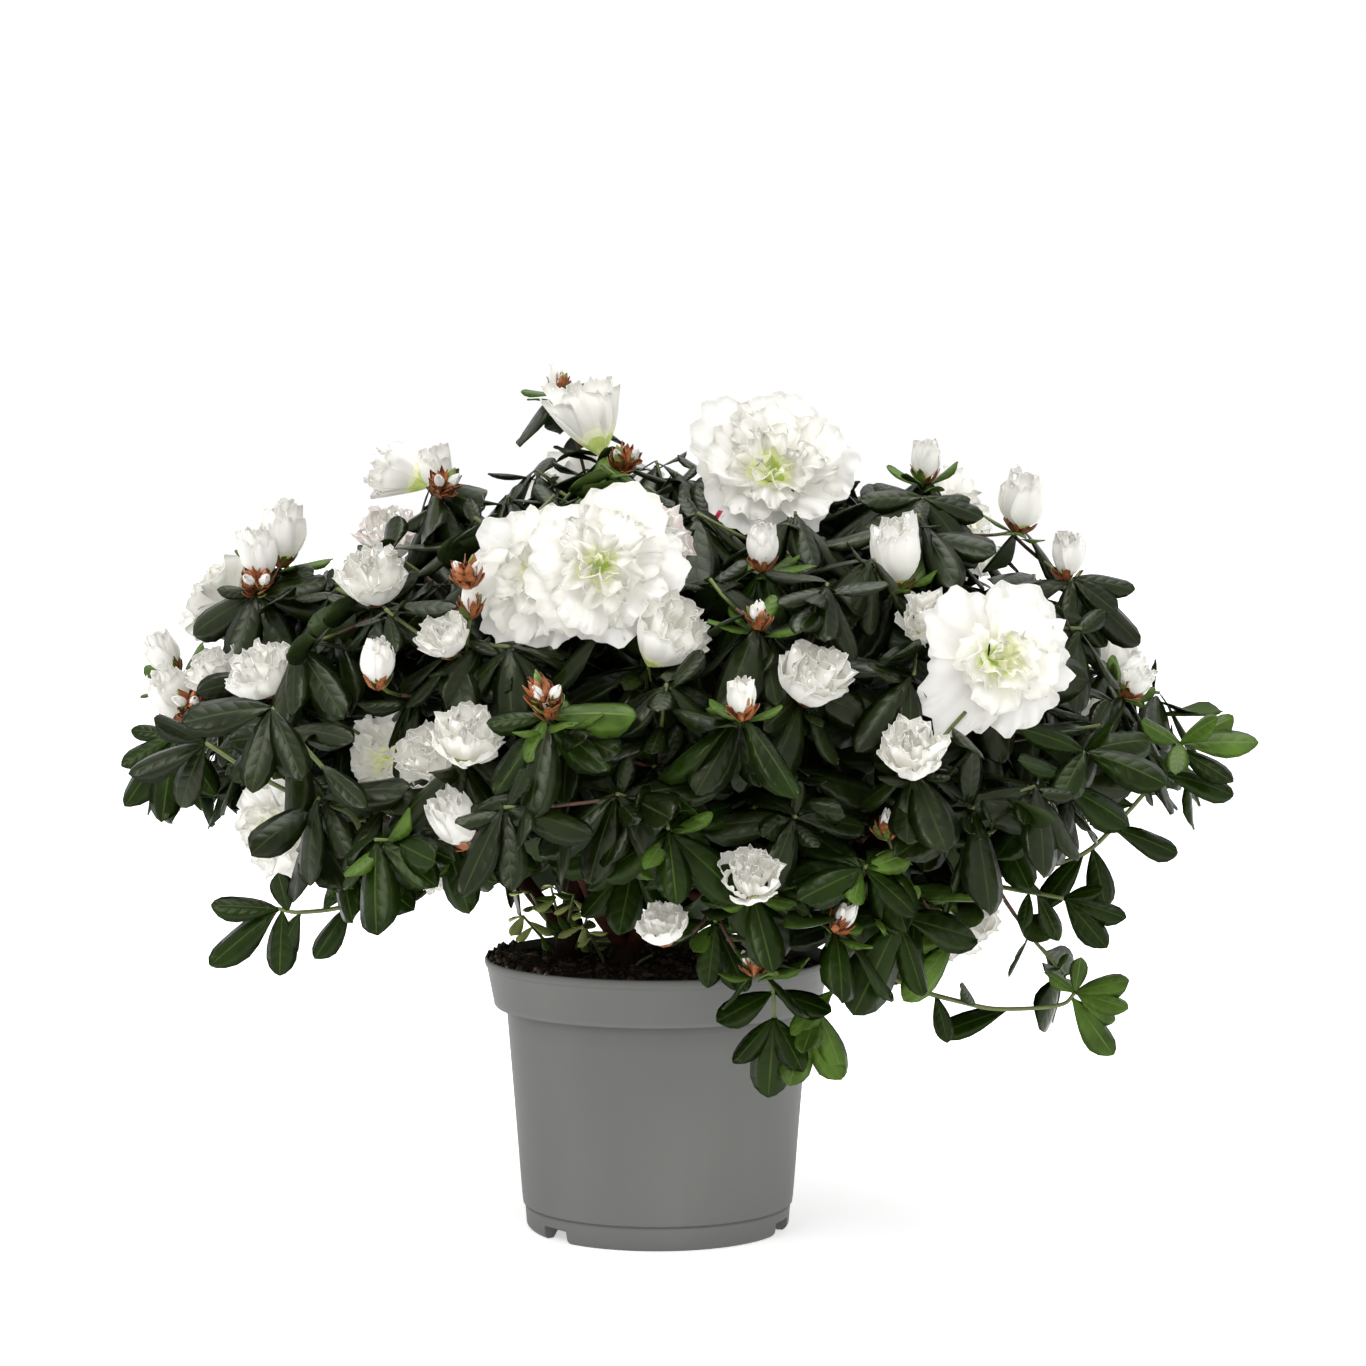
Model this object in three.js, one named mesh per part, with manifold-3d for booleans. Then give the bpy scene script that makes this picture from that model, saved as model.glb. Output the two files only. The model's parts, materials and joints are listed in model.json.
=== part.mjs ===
// A double-flowered azalea shrub in its plastic nursery pot, in millimetres, +Z up.
// The origin is the middle of the pot's flat underside. -Y is the front and +X the right.
// Two woody stems rise from the compost. Boughs fan out from them, and each bough's tip
// carries one mass of foliage: twigs, leaves and flowers fused into one solid.
import * as THREE from 'three';
import { mergeVertices } from 'three/addons/utils/BufferGeometryUtils.js';
import Module from 'manifold-3d';

const wasm = await Module();
wasm.setup();

const point = (x, y, z) => new THREE.Vector3(x, y, z);
const UP = point(0, 0, 1);
const TURN = THREE.MathUtils.DEG2RAD;
const GAP = 0.3; // between pieces that touch

// ---------- driving sizes ----------

const pot = {
  rimRadius: 75,
  height: 118.5,
  rimDepth: 21, // of the collar round the top
  rimDraft: 4, // how much narrower the collar is at its lower edge
  collarStep: 5, // from the collar in to the wall
  footRadius: 57.2,
  wall: 1.6,
  floorRise: 3, // of the underside between the middle pad and the foot
  padRadius: 20,
  footWidth: 5,
  footHeight: 10.5,
  facets: 28,
};
const notch = { width: 17, height: 6, depth: 16, count: 3, firstAt: -50 };
const drain = { radius: 3.5, at: 37, count: 4 };
const compost = { top: 115.5, edgeDrop: 2.2, lumps: 1.6 };

// Where the tips of the twigs reach: a dome over a shallower skirt, both from one widest level.
// Leaves reach a little further, but not below the skirt's hem.
const crown = { middle: point(8, 0, 190), side: 222, depth: 200, rise: 150, drop: 112 };
const leafReach = 24;

// X and height along the hem, which climbs to both sides and is lifted in front of the stems.
const hem = [
  [-250, 200],
  [-200, 188],
  [-150, 164],
  [-95, 144],
  [20, 116],
  [100, 110],
  [140, 136],
  [170, 160],
  [200, 175],
  [250, 192],
];
const hemLift = { height: 168, from: -82, to: 24 };

const stems = {
  main: { foot: [-14, -8], lean: [1, 1], height: 9.5, radius: 5.2, flare: 3.2, head: 6.4 },
  side: { foot: [-38, 13], lean: [-1, 2], height: 14, radius: 5.4, flare: 3.6, head: 6.6 },
};
const bough = { root: 4, tip: 2.1, sideRoot: 2.6, sideTip: 1.7, rise: 38, topRise: 76, sides: 6, steps: 4 };
const twig = { root: 1.7, tip: 1.2, sides: 3, steps: 2, stemLength: 26 };
const leaf = { length: 52, width: 25, widestAt: 0.6, droop: 0.12, perTip: 5, onShoots: 0.76 };
const hub = { radius: 3.2, half: 1.5 }; // the middle that the leaves round one tip share
const spiralTips = 116; // tips laid evenly over the whole crown, before those near a flower go
const tipSpacing = 40; // how near to a flower or a long shoot such a tip may be
const flowerRoom = 3.6; // that other twigs and leaves leave round a flower
const clusterSpacing = 34; // a flower nearer than this to a larger one shares that one's leaves

// ---------- small tools ----------

// Numbers from 0 to 1 in a fixed order for each seed.
function dice(seed) {
  let state = seed;
  return () => {
    state = (state * 1664525 + 1013904223) % 4294967296;
    return state / 4294967296;
  };
}

// A unit vector: degrees round from the front towards the right, and degrees up.
function aim(round, up) {
  const level = Math.cos(up * TURN);
  return point(Math.sin(round * TURN) * level, -Math.cos(round * TURN) * level, Math.sin(up * TURN));
}

// The point of the crown's surface that lies that way from its middle, or a share of the way to it.
function onCrown(way, share = 1) {
  const height = way.z > 0 ? crown.rise : crown.drop;
  return point(way.x * crown.side, way.y * crown.depth, way.z * height)
    .multiplyScalar(share)
    .add(crown.middle);
}

function mix(a, b, share) {
  return a.clone().lerp(b, share);
}

// A closed three.js geometry as a solid that can be joined and cut.
function toSolid(geometry) {
  const bare = new THREE.BufferGeometry();
  bare.setAttribute('position', geometry.getAttribute('position'));
  bare.setIndex(geometry.index);
  const merged = mergeVertices(bare, 1e-4);
  return new wasm.Manifold(
    new wasm.Mesh({
      numProp: 3,
      vertProperties: merged.attributes.position.array,
      triVerts: new Uint32Array(merged.index.array),
    }),
  );
}

function toMesh(name, solid, material) {
  const { vertProperties, triVerts } = solid.getMesh();
  const geometry = new THREE.BufferGeometry();
  geometry.setAttribute('position', new THREE.BufferAttribute(vertProperties, 3));
  geometry.setIndex(new THREE.BufferAttribute(triVerts, 1));
  const mesh = new THREE.Mesh(geometry, material);
  mesh.name = name;
  return mesh;
}

// The largest of the pieces that a cut or a join leaves.
function mainPiece(solid) {
  const pieces = solid.decompose();
  return pieces.reduce((best, piece) => (piece.volume() > best.volume() ? piece : best));
}

// Moves each vertex of a geometry to where place(x, y, z) says.
function reshape(geometry, place) {
  const spots = geometry.attributes.position;
  for (let i = 0; i < spots.count; i++) {
    const moved = place(spots.getX(i), spots.getY(i), spots.getZ(i));
    spots.setXYZ(i, moved.x, moved.y, moved.z);
  }
  return geometry;
}

// A capped rod bent along a curve. radiusAt(share, angle) is its radius along and around it.
function rod(curve, radiusAt, sides, steps) {
  const frames = curve.computeFrenetFrames(steps, false);
  const straight = new THREE.CylinderGeometry(1, 1, 1, sides, steps);
  return reshape(straight, (x, y, z) => {
    const ring = Math.round((y + 0.5) * steps);
    const radius = radiusAt(ring / steps, Math.atan2(z, x));
    return curve
      .getPointAt(ring / steps)
      .addScaledVector(frames.normals[ring], x * radius)
      .addScaledVector(frames.binormals[ring], -z * radius);
  });
}

function taper(from, to) {
  return (share) => from + (to - from) * share;
}

// ---------- pot and compost ----------

// Radius and height pairs of the pot's wall, from the middle of its underside and back to its floor.
function potProfile() {
  const { rimRadius, height, rimDepth, rimDraft, collarStep, footRadius, wall, floorRise } = pot;
  const collarFoot = rimRadius - rimDraft;
  const wallTop = collarFoot - collarStep;
  const footInside = footRadius - pot.footWidth;
  const floor = floorRise + wall;
  return [
    [0, 0],
    [pot.padRadius, 0],
    [pot.padRadius + 2, floorRise],
    [footInside - 2, floorRise],
    [footInside, 0],
    [footRadius - 2, 0],
    [footRadius, 2.2],
    [footRadius + 0.6, pot.footHeight - 0.8],
    [footRadius + 1.4, pot.footHeight],
    [wallTop, height - rimDepth + 1],
    [collarFoot, height - rimDepth],
    [rimRadius, height - 1.2],
    [rimRadius - 0.6, height],
    [rimRadius - wall, height - 0.4],
    [collarFoot - wall, height - rimDepth + 3],
    [wallTop - wall, height - rimDepth + 0.4],
    [footRadius - 2, floor],
    [0, floor],
  ];
}

function latheUpright(profile, facets) {
  const spots = profile.map(([radius, height]) => new THREE.Vector2(radius, height));
  return new THREE.LatheGeometry(spots, facets).rotateX(90 * TURN);
}

function makePot() {
  let solid = toSolid(latheUpright(potProfile(), pot.facets));
  const cuts = [];
  for (let i = 0; i < notch.count; i++) {
    const way = aim(notch.firstAt + (i * 360) / notch.count, 0);
    const box = new THREE.BoxGeometry(notch.depth, notch.width, notch.height * 2);
    box.rotateZ(Math.atan2(way.y, way.x));
    cuts.push(toSolid(box.translate(way.x * pot.footRadius, way.y * pot.footRadius, 0)));
  }
  for (let i = 0; i < drain.count; i++) {
    const way = aim(((i + 0.5) * 360) / drain.count, 0);
    const hole = new THREE.CylinderGeometry(drain.radius, drain.radius, 20, 6).rotateX(90 * TURN);
    cuts.push(toSolid(hole.translate(way.x * drain.at, way.y * drain.at, 0)));
  }
  for (const cut of cuts) solid = solid.subtract(cut);
  return mainPiece(solid);
}

// The filled inside of the pot, lumpy on top and level under the feet of the stems.
function makeCompost() {
  const floor = pot.floorRise + pot.wall + GAP;
  const wallTop = pot.rimRadius - pot.rimDraft - pot.collarStep - pot.wall - GAP;
  const shoulder = pot.height - pot.rimDepth;
  const edge = pot.rimRadius - pot.rimDraft - pot.wall - GAP;
  const profile = [
    [0, floor],
    [pot.footRadius - 2.6, floor],
    [wallTop - 0.2, shoulder - 0.4],
    [wallTop + 0.1, shoulder + 1],
    [edge - 0.3, shoulder + 4],
    [edge + 1, compost.top - compost.edgeDrop],
    [46, compost.top - 0.4],
    [22, compost.top],
    [0, compost.top],
  ];
  const roll = dice(7);
  const lumps = new Map();
  const body = latheUpright(profile, pot.facets);
  reshape(body, (x, y, z) => {
    const near = Object.values(stems).some(({ foot }) => Math.hypot(x - foot[0], y - foot[1]) < 16);
    if (z < compost.top - 3 || near) return point(x, y, z);
    const key = Math.round(x * 10) + ' ' + Math.round(y * 10);
    if (!lumps.has(key)) lumps.set(key, -roll() * compost.lumps);
    return point(x, y, z + lumps.get(key));
  });
  return toSolid(body);
}

// ---------- stems and boughs ----------

// A stem with its root flare and the swollen head that its boughs leave.
function makeStem({ foot, lean, height, radius, flare, head }) {
  const bottom = compost.top + GAP;
  const low = point(foot[0], foot[1], bottom);
  const top = point(foot[0] + lean[0], foot[1] + lean[1], bottom + height);
  const line = new THREE.LineCurve3(low, top);
  const shape = (share, angle) => {
    const spread = flare * (1 - share) ** 3 * (1 + 0.3 * Math.cos(angle * 4));
    const swell = (head - radius) * share ** 2;
    return radius + spread + swell;
  };
  const body = reshape(rod(line, shape, 10, 4), (x, y, z) =>
    point(x, y, z < bottom + 0.5 ? bottom : z), // the cut at the ground is level
  );
  return { solid: toSolid(body), fork: top.clone().setZ(top.z - 3), top };
}

const mainStem = makeStem(stems.main);
const sideStem = makeStem(stems.side);

// The masses of foliage: one on top, a ring round the shoulders and a ring round the skirt.
const shoulders = [
  ['front_right', mainStem],
  ['right', mainStem],
  ['back', sideStem],
  ['left', sideStem],
  ['front_left', mainStem],
];
const skirt = [
  ['front', 'front_left'],
  ['right_of_front', 'front_right'],
  ['front_of_right', 'front_right'],
  ['back_of_right', 'right'],
  ['right_of_back', 'back'],
  ['left_of_back', 'back'],
  ['back_of_left', 'left'],
  ['front_of_left', 'left'],
  ['left_of_front', 'front_left'],
];
const masses = [
  { name: 'top', round: 150, heart: onCrown(UP, 0.6), stem: sideStem },
  ...shoulders.map(([side, stem], i) => {
    const round = 36 + i * 72;
    return { name: 'upper_' + side, round, heart: onCrown(aim(round, 40), 0.68), stem };
  }),
  ...skirt.map(([side, parent], i) => {
    const round = i * 40;
    return { name: 'lower_' + side, round, heart: onCrown(aim(round, -6), 0.68), parent: 'upper_' + parent };
  }),
];

// The curve of a bough from where it leaves its parent to where it enters its mass.
function boughCurve(start, mass, rise) {
  const end = mix(start, mass.heart, mass.parent ? 0.6 : 0.66);
  const reach = start.distanceTo(end);
  const bend = start.clone().addScaledVector(aim(mass.round, rise), reach * 0.5);
  return new THREE.QuadraticBezierCurve3(start, bend, end);
}

function growBoughs() {
  for (const mass of masses) {
    if (mass.parent) {
      const parent = masses.find(({ name }) => name === mass.parent);
      const first = masses.find((other) => other.parent === mass.parent) === mass;
      mass.curve = boughCurve(parent.curve.getPointAt(first ? 0.36 : 0.6), mass, -4);
      mass.radii = [bough.sideRoot, bough.sideTip];
    } else {
      mass.curve = boughCurve(mass.stem.fork, mass, mass.name === 'top' ? bough.topRise : bough.rise);
      mass.radii = [bough.root, bough.tip];
    }
  }
}

// Each bough is cut clear of the stems and of the boughs before it, so that it seats on them.
function makeBoughs() {
  const made = [];
  const cutters = [mainStem, sideStem].map(({ solid }) => grown(solid));
  for (const mass of masses) {
    const [root, tip] = mass.radii;
    const body = (extra) =>
      toSolid(rod(mass.curve, taper(root + extra, tip + extra), bough.sides, bough.steps));
    const solid = cutters.reduce((left, cutter) => left.subtract(cutter), body(0));
    made.push({ name: 'bough_' + mass.name, solid: mainPiece(solid) });
    cutters.push(body(GAP + 0.1));
  }
  return made;
}

// A stem's solid swollen by the gap, about its own middle.
function grown(solid) {
  const { min, max } = solid.boundingBox();
  const middle = min.map((low, i) => (low + max[i]) / 2);
  const factor = min.map((low, i) => 1 + (2 * (GAP + 0.15)) / (max[i] - low));
  return solid
    .translate(middle.map((m) => -m))
    .scale(factor)
    .translate(middle);
}

// ---------- flowers ----------

// Mouth centre, the way it faces (round from the front, up) and width across the mouth.
const frontFlowers = [
  { kind: 'funnel', at: [-34, -5, 366], faces: [-90, 72], width: 30 },
  { kind: 'bud', at: [-42, 18, 373], faces: [-90, 75], width: 9 },
  { kind: 'funnel', at: [-126, -10, 333], faces: [-90, 25], width: 22 },
  { kind: 'opening', at: [-96, -15, 339], faces: [-30, 75], width: 15 },
  { kind: 'opening', at: [-171, -32, 305], faces: [-75, 78], width: 17 },
  { kind: 'opening', at: [-158, -25, 316], faces: [30, 80], width: 20 },
  { kind: 'half', at: [-117, -95, 295], faces: [-10, 55], width: 29 },
  { kind: 'half', at: [-119, 30, 308], faces: [-20, 60], width: 28 },
  { kind: 'bud', at: [-76, -133, 287], faces: [-30, 70], width: 9 },
  { kind: 'open', at: [-51, -138, 291], faces: [-26, 8], width: 56 },
  { kind: 'open', at: [-20, -156, 297], faces: [8, 10], width: 60 },
  { kind: 'half', at: [7, -130, 306], faces: [45, 20], width: 32 },
  { kind: 'half', at: [-87, -140, 271], faces: [-40, 50], width: 20 },
  { kind: 'opening', at: [-111, -137, 265], faces: [0, 80], width: 14 },
  { kind: 'half', at: [-167, -95, 256], faces: [-50, 55], width: 27 },
  { kind: 'half', at: [-192, -45, 252], faces: [-60, 50], width: 24 },
  { kind: 'opening', at: [-217, -5, 258], faces: [-70, 60], width: 14 },
  { kind: 'opening', at: [-212, -30, 244], faces: [-60, 60], width: 18 },
  { kind: 'open', at: [-196, 25, 277], faces: [-120, 30], width: 45 },
  { kind: 'funnel', at: [11, -150, 276], faces: [40, 45], width: 28 },
  { kind: 'open', at: [50, -62, 335], faces: [5, 18], width: 64 },
  { kind: 'opening', at: [43, -112, 309], faces: [0, 75], width: 13 },
  { kind: 'bud', at: [41, -150, 282], faces: [0, 70], width: 8 },
  { kind: 'opening', at: [115, -20, 342], faces: [15, 75], width: 13 },
  { kind: 'opening', at: [97, -100, 311], faces: [-20, 78], width: 21 },
  { kind: 'open', at: [138, 45, 312], faces: [110, 35], width: 52 },
  { kind: 'opening', at: [157, -20, 328], faces: [20, 75], width: 19 },
  { kind: 'opening', at: [175, -30, 303], faces: [10, 75], width: 15 },
  { kind: 'open', at: [141, -140, 259], faces: [12, 6], width: 66 },
  { kind: 'half', at: [111, -125, 276], faces: [10, 30], width: 24 },
  { kind: 'half', at: [66, -160, 259], faces: [30, 50], width: 30 },
  { kind: 'opening', at: [34, -181, 252], faces: [0, 75], width: 11 },
  { kind: 'opening', at: [206, -56, 247], faces: [70, 50], width: 11 },
  { kind: 'half', at: [101, -172, 230], faces: [-5, 45], width: 27 },
  { kind: 'half', at: [38, -190, 181], faces: [0, 40], width: 24 },
  { kind: 'half', at: [2, -165, 160], faces: [-20, 60], width: 20 },
  { kind: 'bud', at: [79, -170, 163], faces: [60, 50], width: 9 },
  { kind: 'open', at: [138, -90, 139], faces: [120, -25], width: 44 },
  { kind: 'half', at: [-72, -172, 236], faces: [15, 50], width: 28 },
  { kind: 'half', at: [-95, -146, 222], faces: [-30, 30], width: 26 },
  { kind: 'open', at: [-116, -130, 214], faces: [-40, -5], width: 44 },
  { kind: 'open', at: [-163, -104, 185], faces: [-50, -8], width: 42 },
  { kind: 'opening', at: [-83, -176, 206], faces: [-40, 55], width: 18 },
  { kind: 'half', at: [-92, -140, 174], faces: [-40, 0], width: 20 },
  { kind: 'bud', at: [-43, -182, 250], faces: [-30, 70], width: 9 },
  { kind: 'bud', at: [92, -150, 199], faces: [0, 80], width: 8 },
  { kind: 'bud', at: [40, -150, 144], faces: [0, 75], width: 8 },
  { kind: 'opening', at: [186, -46, 233], faces: [40, 60], width: 10 },
];

// Shoots with leaves alone that reach past the rest, or that hang over the pot's rim.
const longShoots = [
  [228, 0, 208],
  [214, -52, 186],
  [176, -12, 112],
  [150, -100, 140],
  [-152, -92, 146],
  [-122, -118, 150],
  [56, -124, 132],
  [84, -112, 128],
  [24, -140, 152],
  [-216, -8, 205],
  [-84, -150, 188],
  [192, -82, 212],
];

// Profiles in half widths, from the base to the middle of the mouth, and the petals' ripple.
const flowerKinds = {
  open: { profile: [[0, 0], [1, 0.72], [0.52, 1], [0, 0.7]], facets: 12, ripple: 0.1 },
  half: { profile: [[0, 0], [1, 1.15], [0.5, 1.5], [0, 1.2]], facets: 8, ripple: 0.1 },
  funnel: { profile: [[0, 0], [0.78, 0.85], [1, 2.2], [0, 1.2]], facets: 8, ripple: 0.08 },
  opening: { profile: [[0, 0], [1, 1.3], [0.6, 2.6], [0, 2.3]], facets: 5, ripple: 0 },
  bud: { profile: [[0, 0], [1, 1.2], [0, 2.8]], facets: 5, ripple: 0 },
};

function mouthHeight(kind) {
  return Math.max(...flowerKinds[kind].profile.map(([, height]) => height));
}

// The back carries some of the front's flowers, turned round the crown's middle.
function allFlowers() {
  const back = frontFlowers
    .filter((flower, i) => i % 5 < 2 && flower.at[1] < -28)
    .map(({ kind, at: [x, y, z], faces: [round, up], width }) => {
      const { middle } = crown;
      return { kind, at: [2 * middle.x - x, -y, z], faces: [round + 180, up], width };
    });
  return [...frontFlowers, ...back].map(({ kind, at, faces, width }) => {
    const way = aim(...faces);
    const length = (mouthHeight(kind) * width) / 2;
    const base = point(...at).addScaledVector(way, -length);
    return { kind, way, length, base, width };
  });
}

function makeFlower({ kind, way, base, width }) {
  const { profile, facets, ripple } = flowerKinds[kind];
  const half = width / 2;
  const turn = new THREE.Quaternion().setFromUnitVectors(UP, way);
  return toSolid(
    reshape(latheUpright(profile, facets), (x, y, z) => {
      const wave = Math.cos((Math.atan2(y, x) * facets) / 2) * ripple;
      const spread = Math.hypot(x, y) > 0.01 ? 1 + wave : 1;
      const lift = spread === 1 ? 0 : wave * 0.8;
      return point(x * spread, y * spread, z + lift).multiplyScalar(half).applyQuaternion(turn).add(base);
    }),
  );
}

// ---------- tips of the twigs ----------

// Every twig ends at a tip: a flower's base, a long shoot, or a place in an even spiral on the crown.
function layTips(flowers) {
  const tips = [];
  for (const flower of [...flowers].sort((a, b) => b.width - a.width)) {
    const at = flower.base.clone();
    const leafless = tips.some((other) => !other.leafless && other.at.distanceTo(at) < clusterSpacing);
    tips.push({ at, way: flower.way, flower, leafless });
  }
  for (const shoot of longShoots) {
    const at = point(...shoot);
    tips.push({ at, way: outward(at), shoot: true });
  }
  const set = tips.map(({ at, flower }) => (flower ? mix(at, mouthOf(flower), 0.5) : at));
  const roll = dice(11);
  for (let i = 0; i < spiralTips; i++) {
    const rise = 1 - ((i + 0.5) / spiralTips) ** 1.25 * 1.62;
    const level = Math.sqrt(1 - rise * rise);
    const round = i * 137.508 * TURN;
    const way = point(Math.sin(round) * level, -Math.cos(round) * level, rise);
    const at = onCrown(way, 0.9 + 0.1 * roll());
    const free = set.every((other) => other.distanceTo(at) > tipSpacing);
    if (free && at.z > hemAt(at)) tips.push({ at, way: outward(at) });
  }
  return tips;
}

function mouthOf({ base, way, length }) {
  return base.clone().addScaledVector(way, length);
}

// Shoots point away from the crown's heart and turn up to the light.
function outward(at) {
  return at.clone().sub(crown.middle).normalize().addScaledVector(UP, 0.6).normalize();
}

function hemAt({ x, y }) {
  if (y < 0 && x > hemLift.from && x < hemLift.to) return hemLift.height;
  const after = hem.findIndex(([at]) => at > x);
  const next = after < 0 ? hem.length - 1 : Math.max(1, after);
  const [[fromX, from], [toX, to]] = [hem[next - 1], hem[next]];
  return THREE.MathUtils.mapLinear(THREE.MathUtils.clamp(x, fromX, toX), fromX, toX, from, to);
}

// True where a leaf's spot keeps to the crown's outline.
function inCrown({ x, y, z }) {
  const { middle, side, depth, rise } = crown;
  const over = z > middle.z ? (z - middle.z) / (rise + leafReach + 10) : 0;
  return Math.hypot((x - middle.x) / (side + leafReach), (y - middle.y) / (depth + leafReach), over) < 1;
}

// ---------- the space each mass keeps to ----------

// How far a spot is inside the cell of points that are nearest to this mass's heart.
function roomInCell(mass, spot) {
  let room = Infinity;
  for (const other of masses) {
    if (other === mass) continue;
    const across = other.heart.clone().sub(mass.heart);
    const wall = mix(other.heart, mass.heart, 0.5);
    room = Math.min(room, wall.sub(spot).dot(across.normalize()));
  }
  return room;
}

function nearestMass(spot) {
  const far = (mass) => mass.heart.distanceTo(spot);
  return masses.reduce((best, mass) => (far(mass) < far(best) ? mass : best));
}

// Moves a spot into its mass's cell until it has the room asked for.
function drawIn(mass, spot, room) {
  for (let i = 0; i < 30 && roomInCell(mass, spot) < room; i++) spot.lerp(mass.heart, 0.06);
  return spot;
}

// True where a solid keeps a gap from all of the others.
function clearOf(solid, others, gap) {
  return others.every((other) => solid.minGap(other, gap + 0.1) > gap);
}

// ---------- leaves ----------

// The leaves round one tip: each is cut shorter where it would leave its mass's space, then left out.
function layLeaves(mass, tip, blockers, roll) {
  const across = Math.abs(tip.way.z) > 0.9 ? point(1, 0, 0) : UP;
  const sideways = across.clone().cross(tip.way).normalize();
  const start = roll() * 360;
  const leaves = [];
  for (let i = 0; i < leaf.perTip; i++) {
    const turn = (start + (i * 360) / leaf.perTip + (roll() - 0.5) * 14) * TURN;
    const spread = (60 + 26 * roll()) * TURN;
    const size = (0.84 + 0.26 * roll()) * (tip.shoot ? leaf.onShoots : 1);
    const out = sideways.clone().applyAxisAngle(tip.way, turn);
    const way = tip.way.clone().multiplyScalar(Math.cos(spread)).addScaledVector(out, Math.sin(spread));
    const side = tip.way.clone().cross(out);
    const fitting = [1, 0.8, 0.62, 0.48].find((cut) => {
      const outline = leafOutline(tip.at, way, side, size * cut);
      const inside = outline.every(
        (spot) => roomInCell(mass, spot) > 0.6 && (tip.shoot || (inCrown(spot) && spot.z > hemAt(spot))),
      );
      return inside && clearOf(hull(tip, outline), blockers, 0.5);
    });
    leaves.push({ out, way, outline: fitting ? leafOutline(tip.at, way, side, size * fitting) : [] });
  }
  return leaves;
}

// The widest places and the tip of one leaf, which bends down along its length.
function leafOutline(root, way, side, size) {
  const spot = (share, aside) =>
    root
      .clone()
      .addScaledVector(way, leaf.length * size * share)
      .addScaledVector(side, (leaf.width / 2) * size * aside)
      .addScaledVector(UP, -leaf.droop * leaf.length * size * share ** 2);
  return [spot(leaf.widestAt, -1), spot(1, 0), spot(leaf.widestAt, 1)];
}

function hull(tip, outline) {
  const ends = [hub.half, -hub.half].map((along) => tip.at.clone().addScaledVector(tip.way, along));
  return wasm.Manifold.hull([...ends, ...outline].map((spot) => spot.toArray()));
}

// A ring of leaves as one star: two shallow cones whose shared rim is the leaves' outline.
function makeRosette(tip, leaves) {
  const rim = leaves.flatMap(({ out, outline }, i) => {
    const notch = mix(out, leaves[(i + 1) % leaves.length].out, 0.5).setLength(hub.radius);
    const body = outline.length ? outline : [tip.at.clone().addScaledVector(out, hub.radius)];
    return [...body, notch.add(tip.at)];
  });
  const star = latheUpright([[0, -1], [1, 0], [0, 1]], rim.length);
  return toSolid(
    reshape(star, (x, y, z) => {
      if (Math.abs(z) > 0.5) return tip.at.clone().addScaledVector(tip.way, z * hub.half);
      const share = Math.atan2(x, -y) / (2 * Math.PI);
      return rim[Math.round((share + 1) * rim.length) % rim.length];
    }),
  );
}

// ---------- twigs ----------

// Grows twigs to a mass's tips, nearest first, each from the nearest node of what has grown.
function makeMass(mass, index, tips, flowers, limbs) {
  const roll = dice(101 + index);
  const strange = flowers.filter((flower) => flower.mass !== mass);
  const blockers = [...limbs, ...strange.map(({ zone }) => zone)];
  const end = mass.curve.getPointAt(1);
  const heading = mass.curve.getTangentAt(1);
  const start = end.clone().addScaledVector(heading, GAP);
  const lift = mix(heading, mass.heart.clone().sub(start).normalize(), 0.5).normalize();
  const stemEnd = start.clone().addScaledVector(lift, twig.stemLength);
  const bend = start.clone().addScaledVector(heading, twig.stemLength * 0.4);
  const stem = new THREE.QuadraticBezierCurve3(start, bend, stemEnd);
  const nodes = [0.5, 0.8, 1].map((share) => ({ at: stem.getPointAt(share), way: lift }));
  const twigs = [makeTwig(stem, mass.radii[1], twig.root)];
  const rosettes = [];
  const blooms = [];
  const order = tips
    .filter((tip) => tip.mass === mass)
    .sort((a, b) => a.at.distanceTo(stemEnd) - b.at.distanceTo(stemEnd));
  for (const tip of order) {
    const others = flowers.filter((flower) => flower.mass === mass && flower !== tip.flower);
    const inTheWay = [...blockers, ...rosettes, ...others.map(({ zone }) => zone)];
    const leaves = tip.leafless ? [] : layLeaves(mass, tip, [...inTheWay, ...twigs], roll);
    const [twigSeat, flowerSeat] = seats(leaves);
    const foot = tip.at.clone().add(twigSeat);
    if (tip.leafless) foot.addScaledVector(tip.way, 4);
    const ways = [...nodes]
      .sort((a, b) => cost(a, foot) - cost(b, foot))
      .slice(0, 12)
      .map((node) => reachTo(node, foot, tip.way));
    const grown =
      ways.find((curve) => twigFits(mass, curve, inTheWay)) ??
      ways.find((curve) => twigFits(mass, curve, blockers));
    if (!grown) continue;
    for (const share of [0.4, 0.7]) {
      nodes.push({ at: grown.getPointAt(share), way: grown.getTangentAt(share) });
    }
    twigs.push(makeTwig(grown, twig.root, twig.tip));
    if (leaves.length) rosettes.push(makeRosette(tip, leaves));
    if (tip.flower) blooms.push(tip.flower.solid.translate(flowerSeat.toArray()));
  }
  return mainPiece(wasm.Manifold.union([...twigs, ...rosettes, ...blooms]).simplify(0.2));
}

// The twig and the flower each meet a ring of leaves beside its middle, at the root of a leaf.
function seats(leaves) {
  const rooted = leaves.filter(({ outline }) => outline.length);
  const seat = (one) => (one ? one.way.clone().multiplyScalar(hub.radius * 0.9) : point(0, 0, 0));
  return [seat(rooted[0]), seat(rooted[Math.ceil(rooted.length / 2)])];
}

function makeTwig(curve, root, tip) {
  return toSolid(rod(curve, taper(root, tip), twig.sides, twig.steps));
}

// A long twig costs more, and so does one that turns back.
function cost(node, foot) {
  const path = foot.clone().sub(node.at);
  return path.length() * (1.25 - 0.5 * path.clone().normalize().dot(node.way));
}

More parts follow.
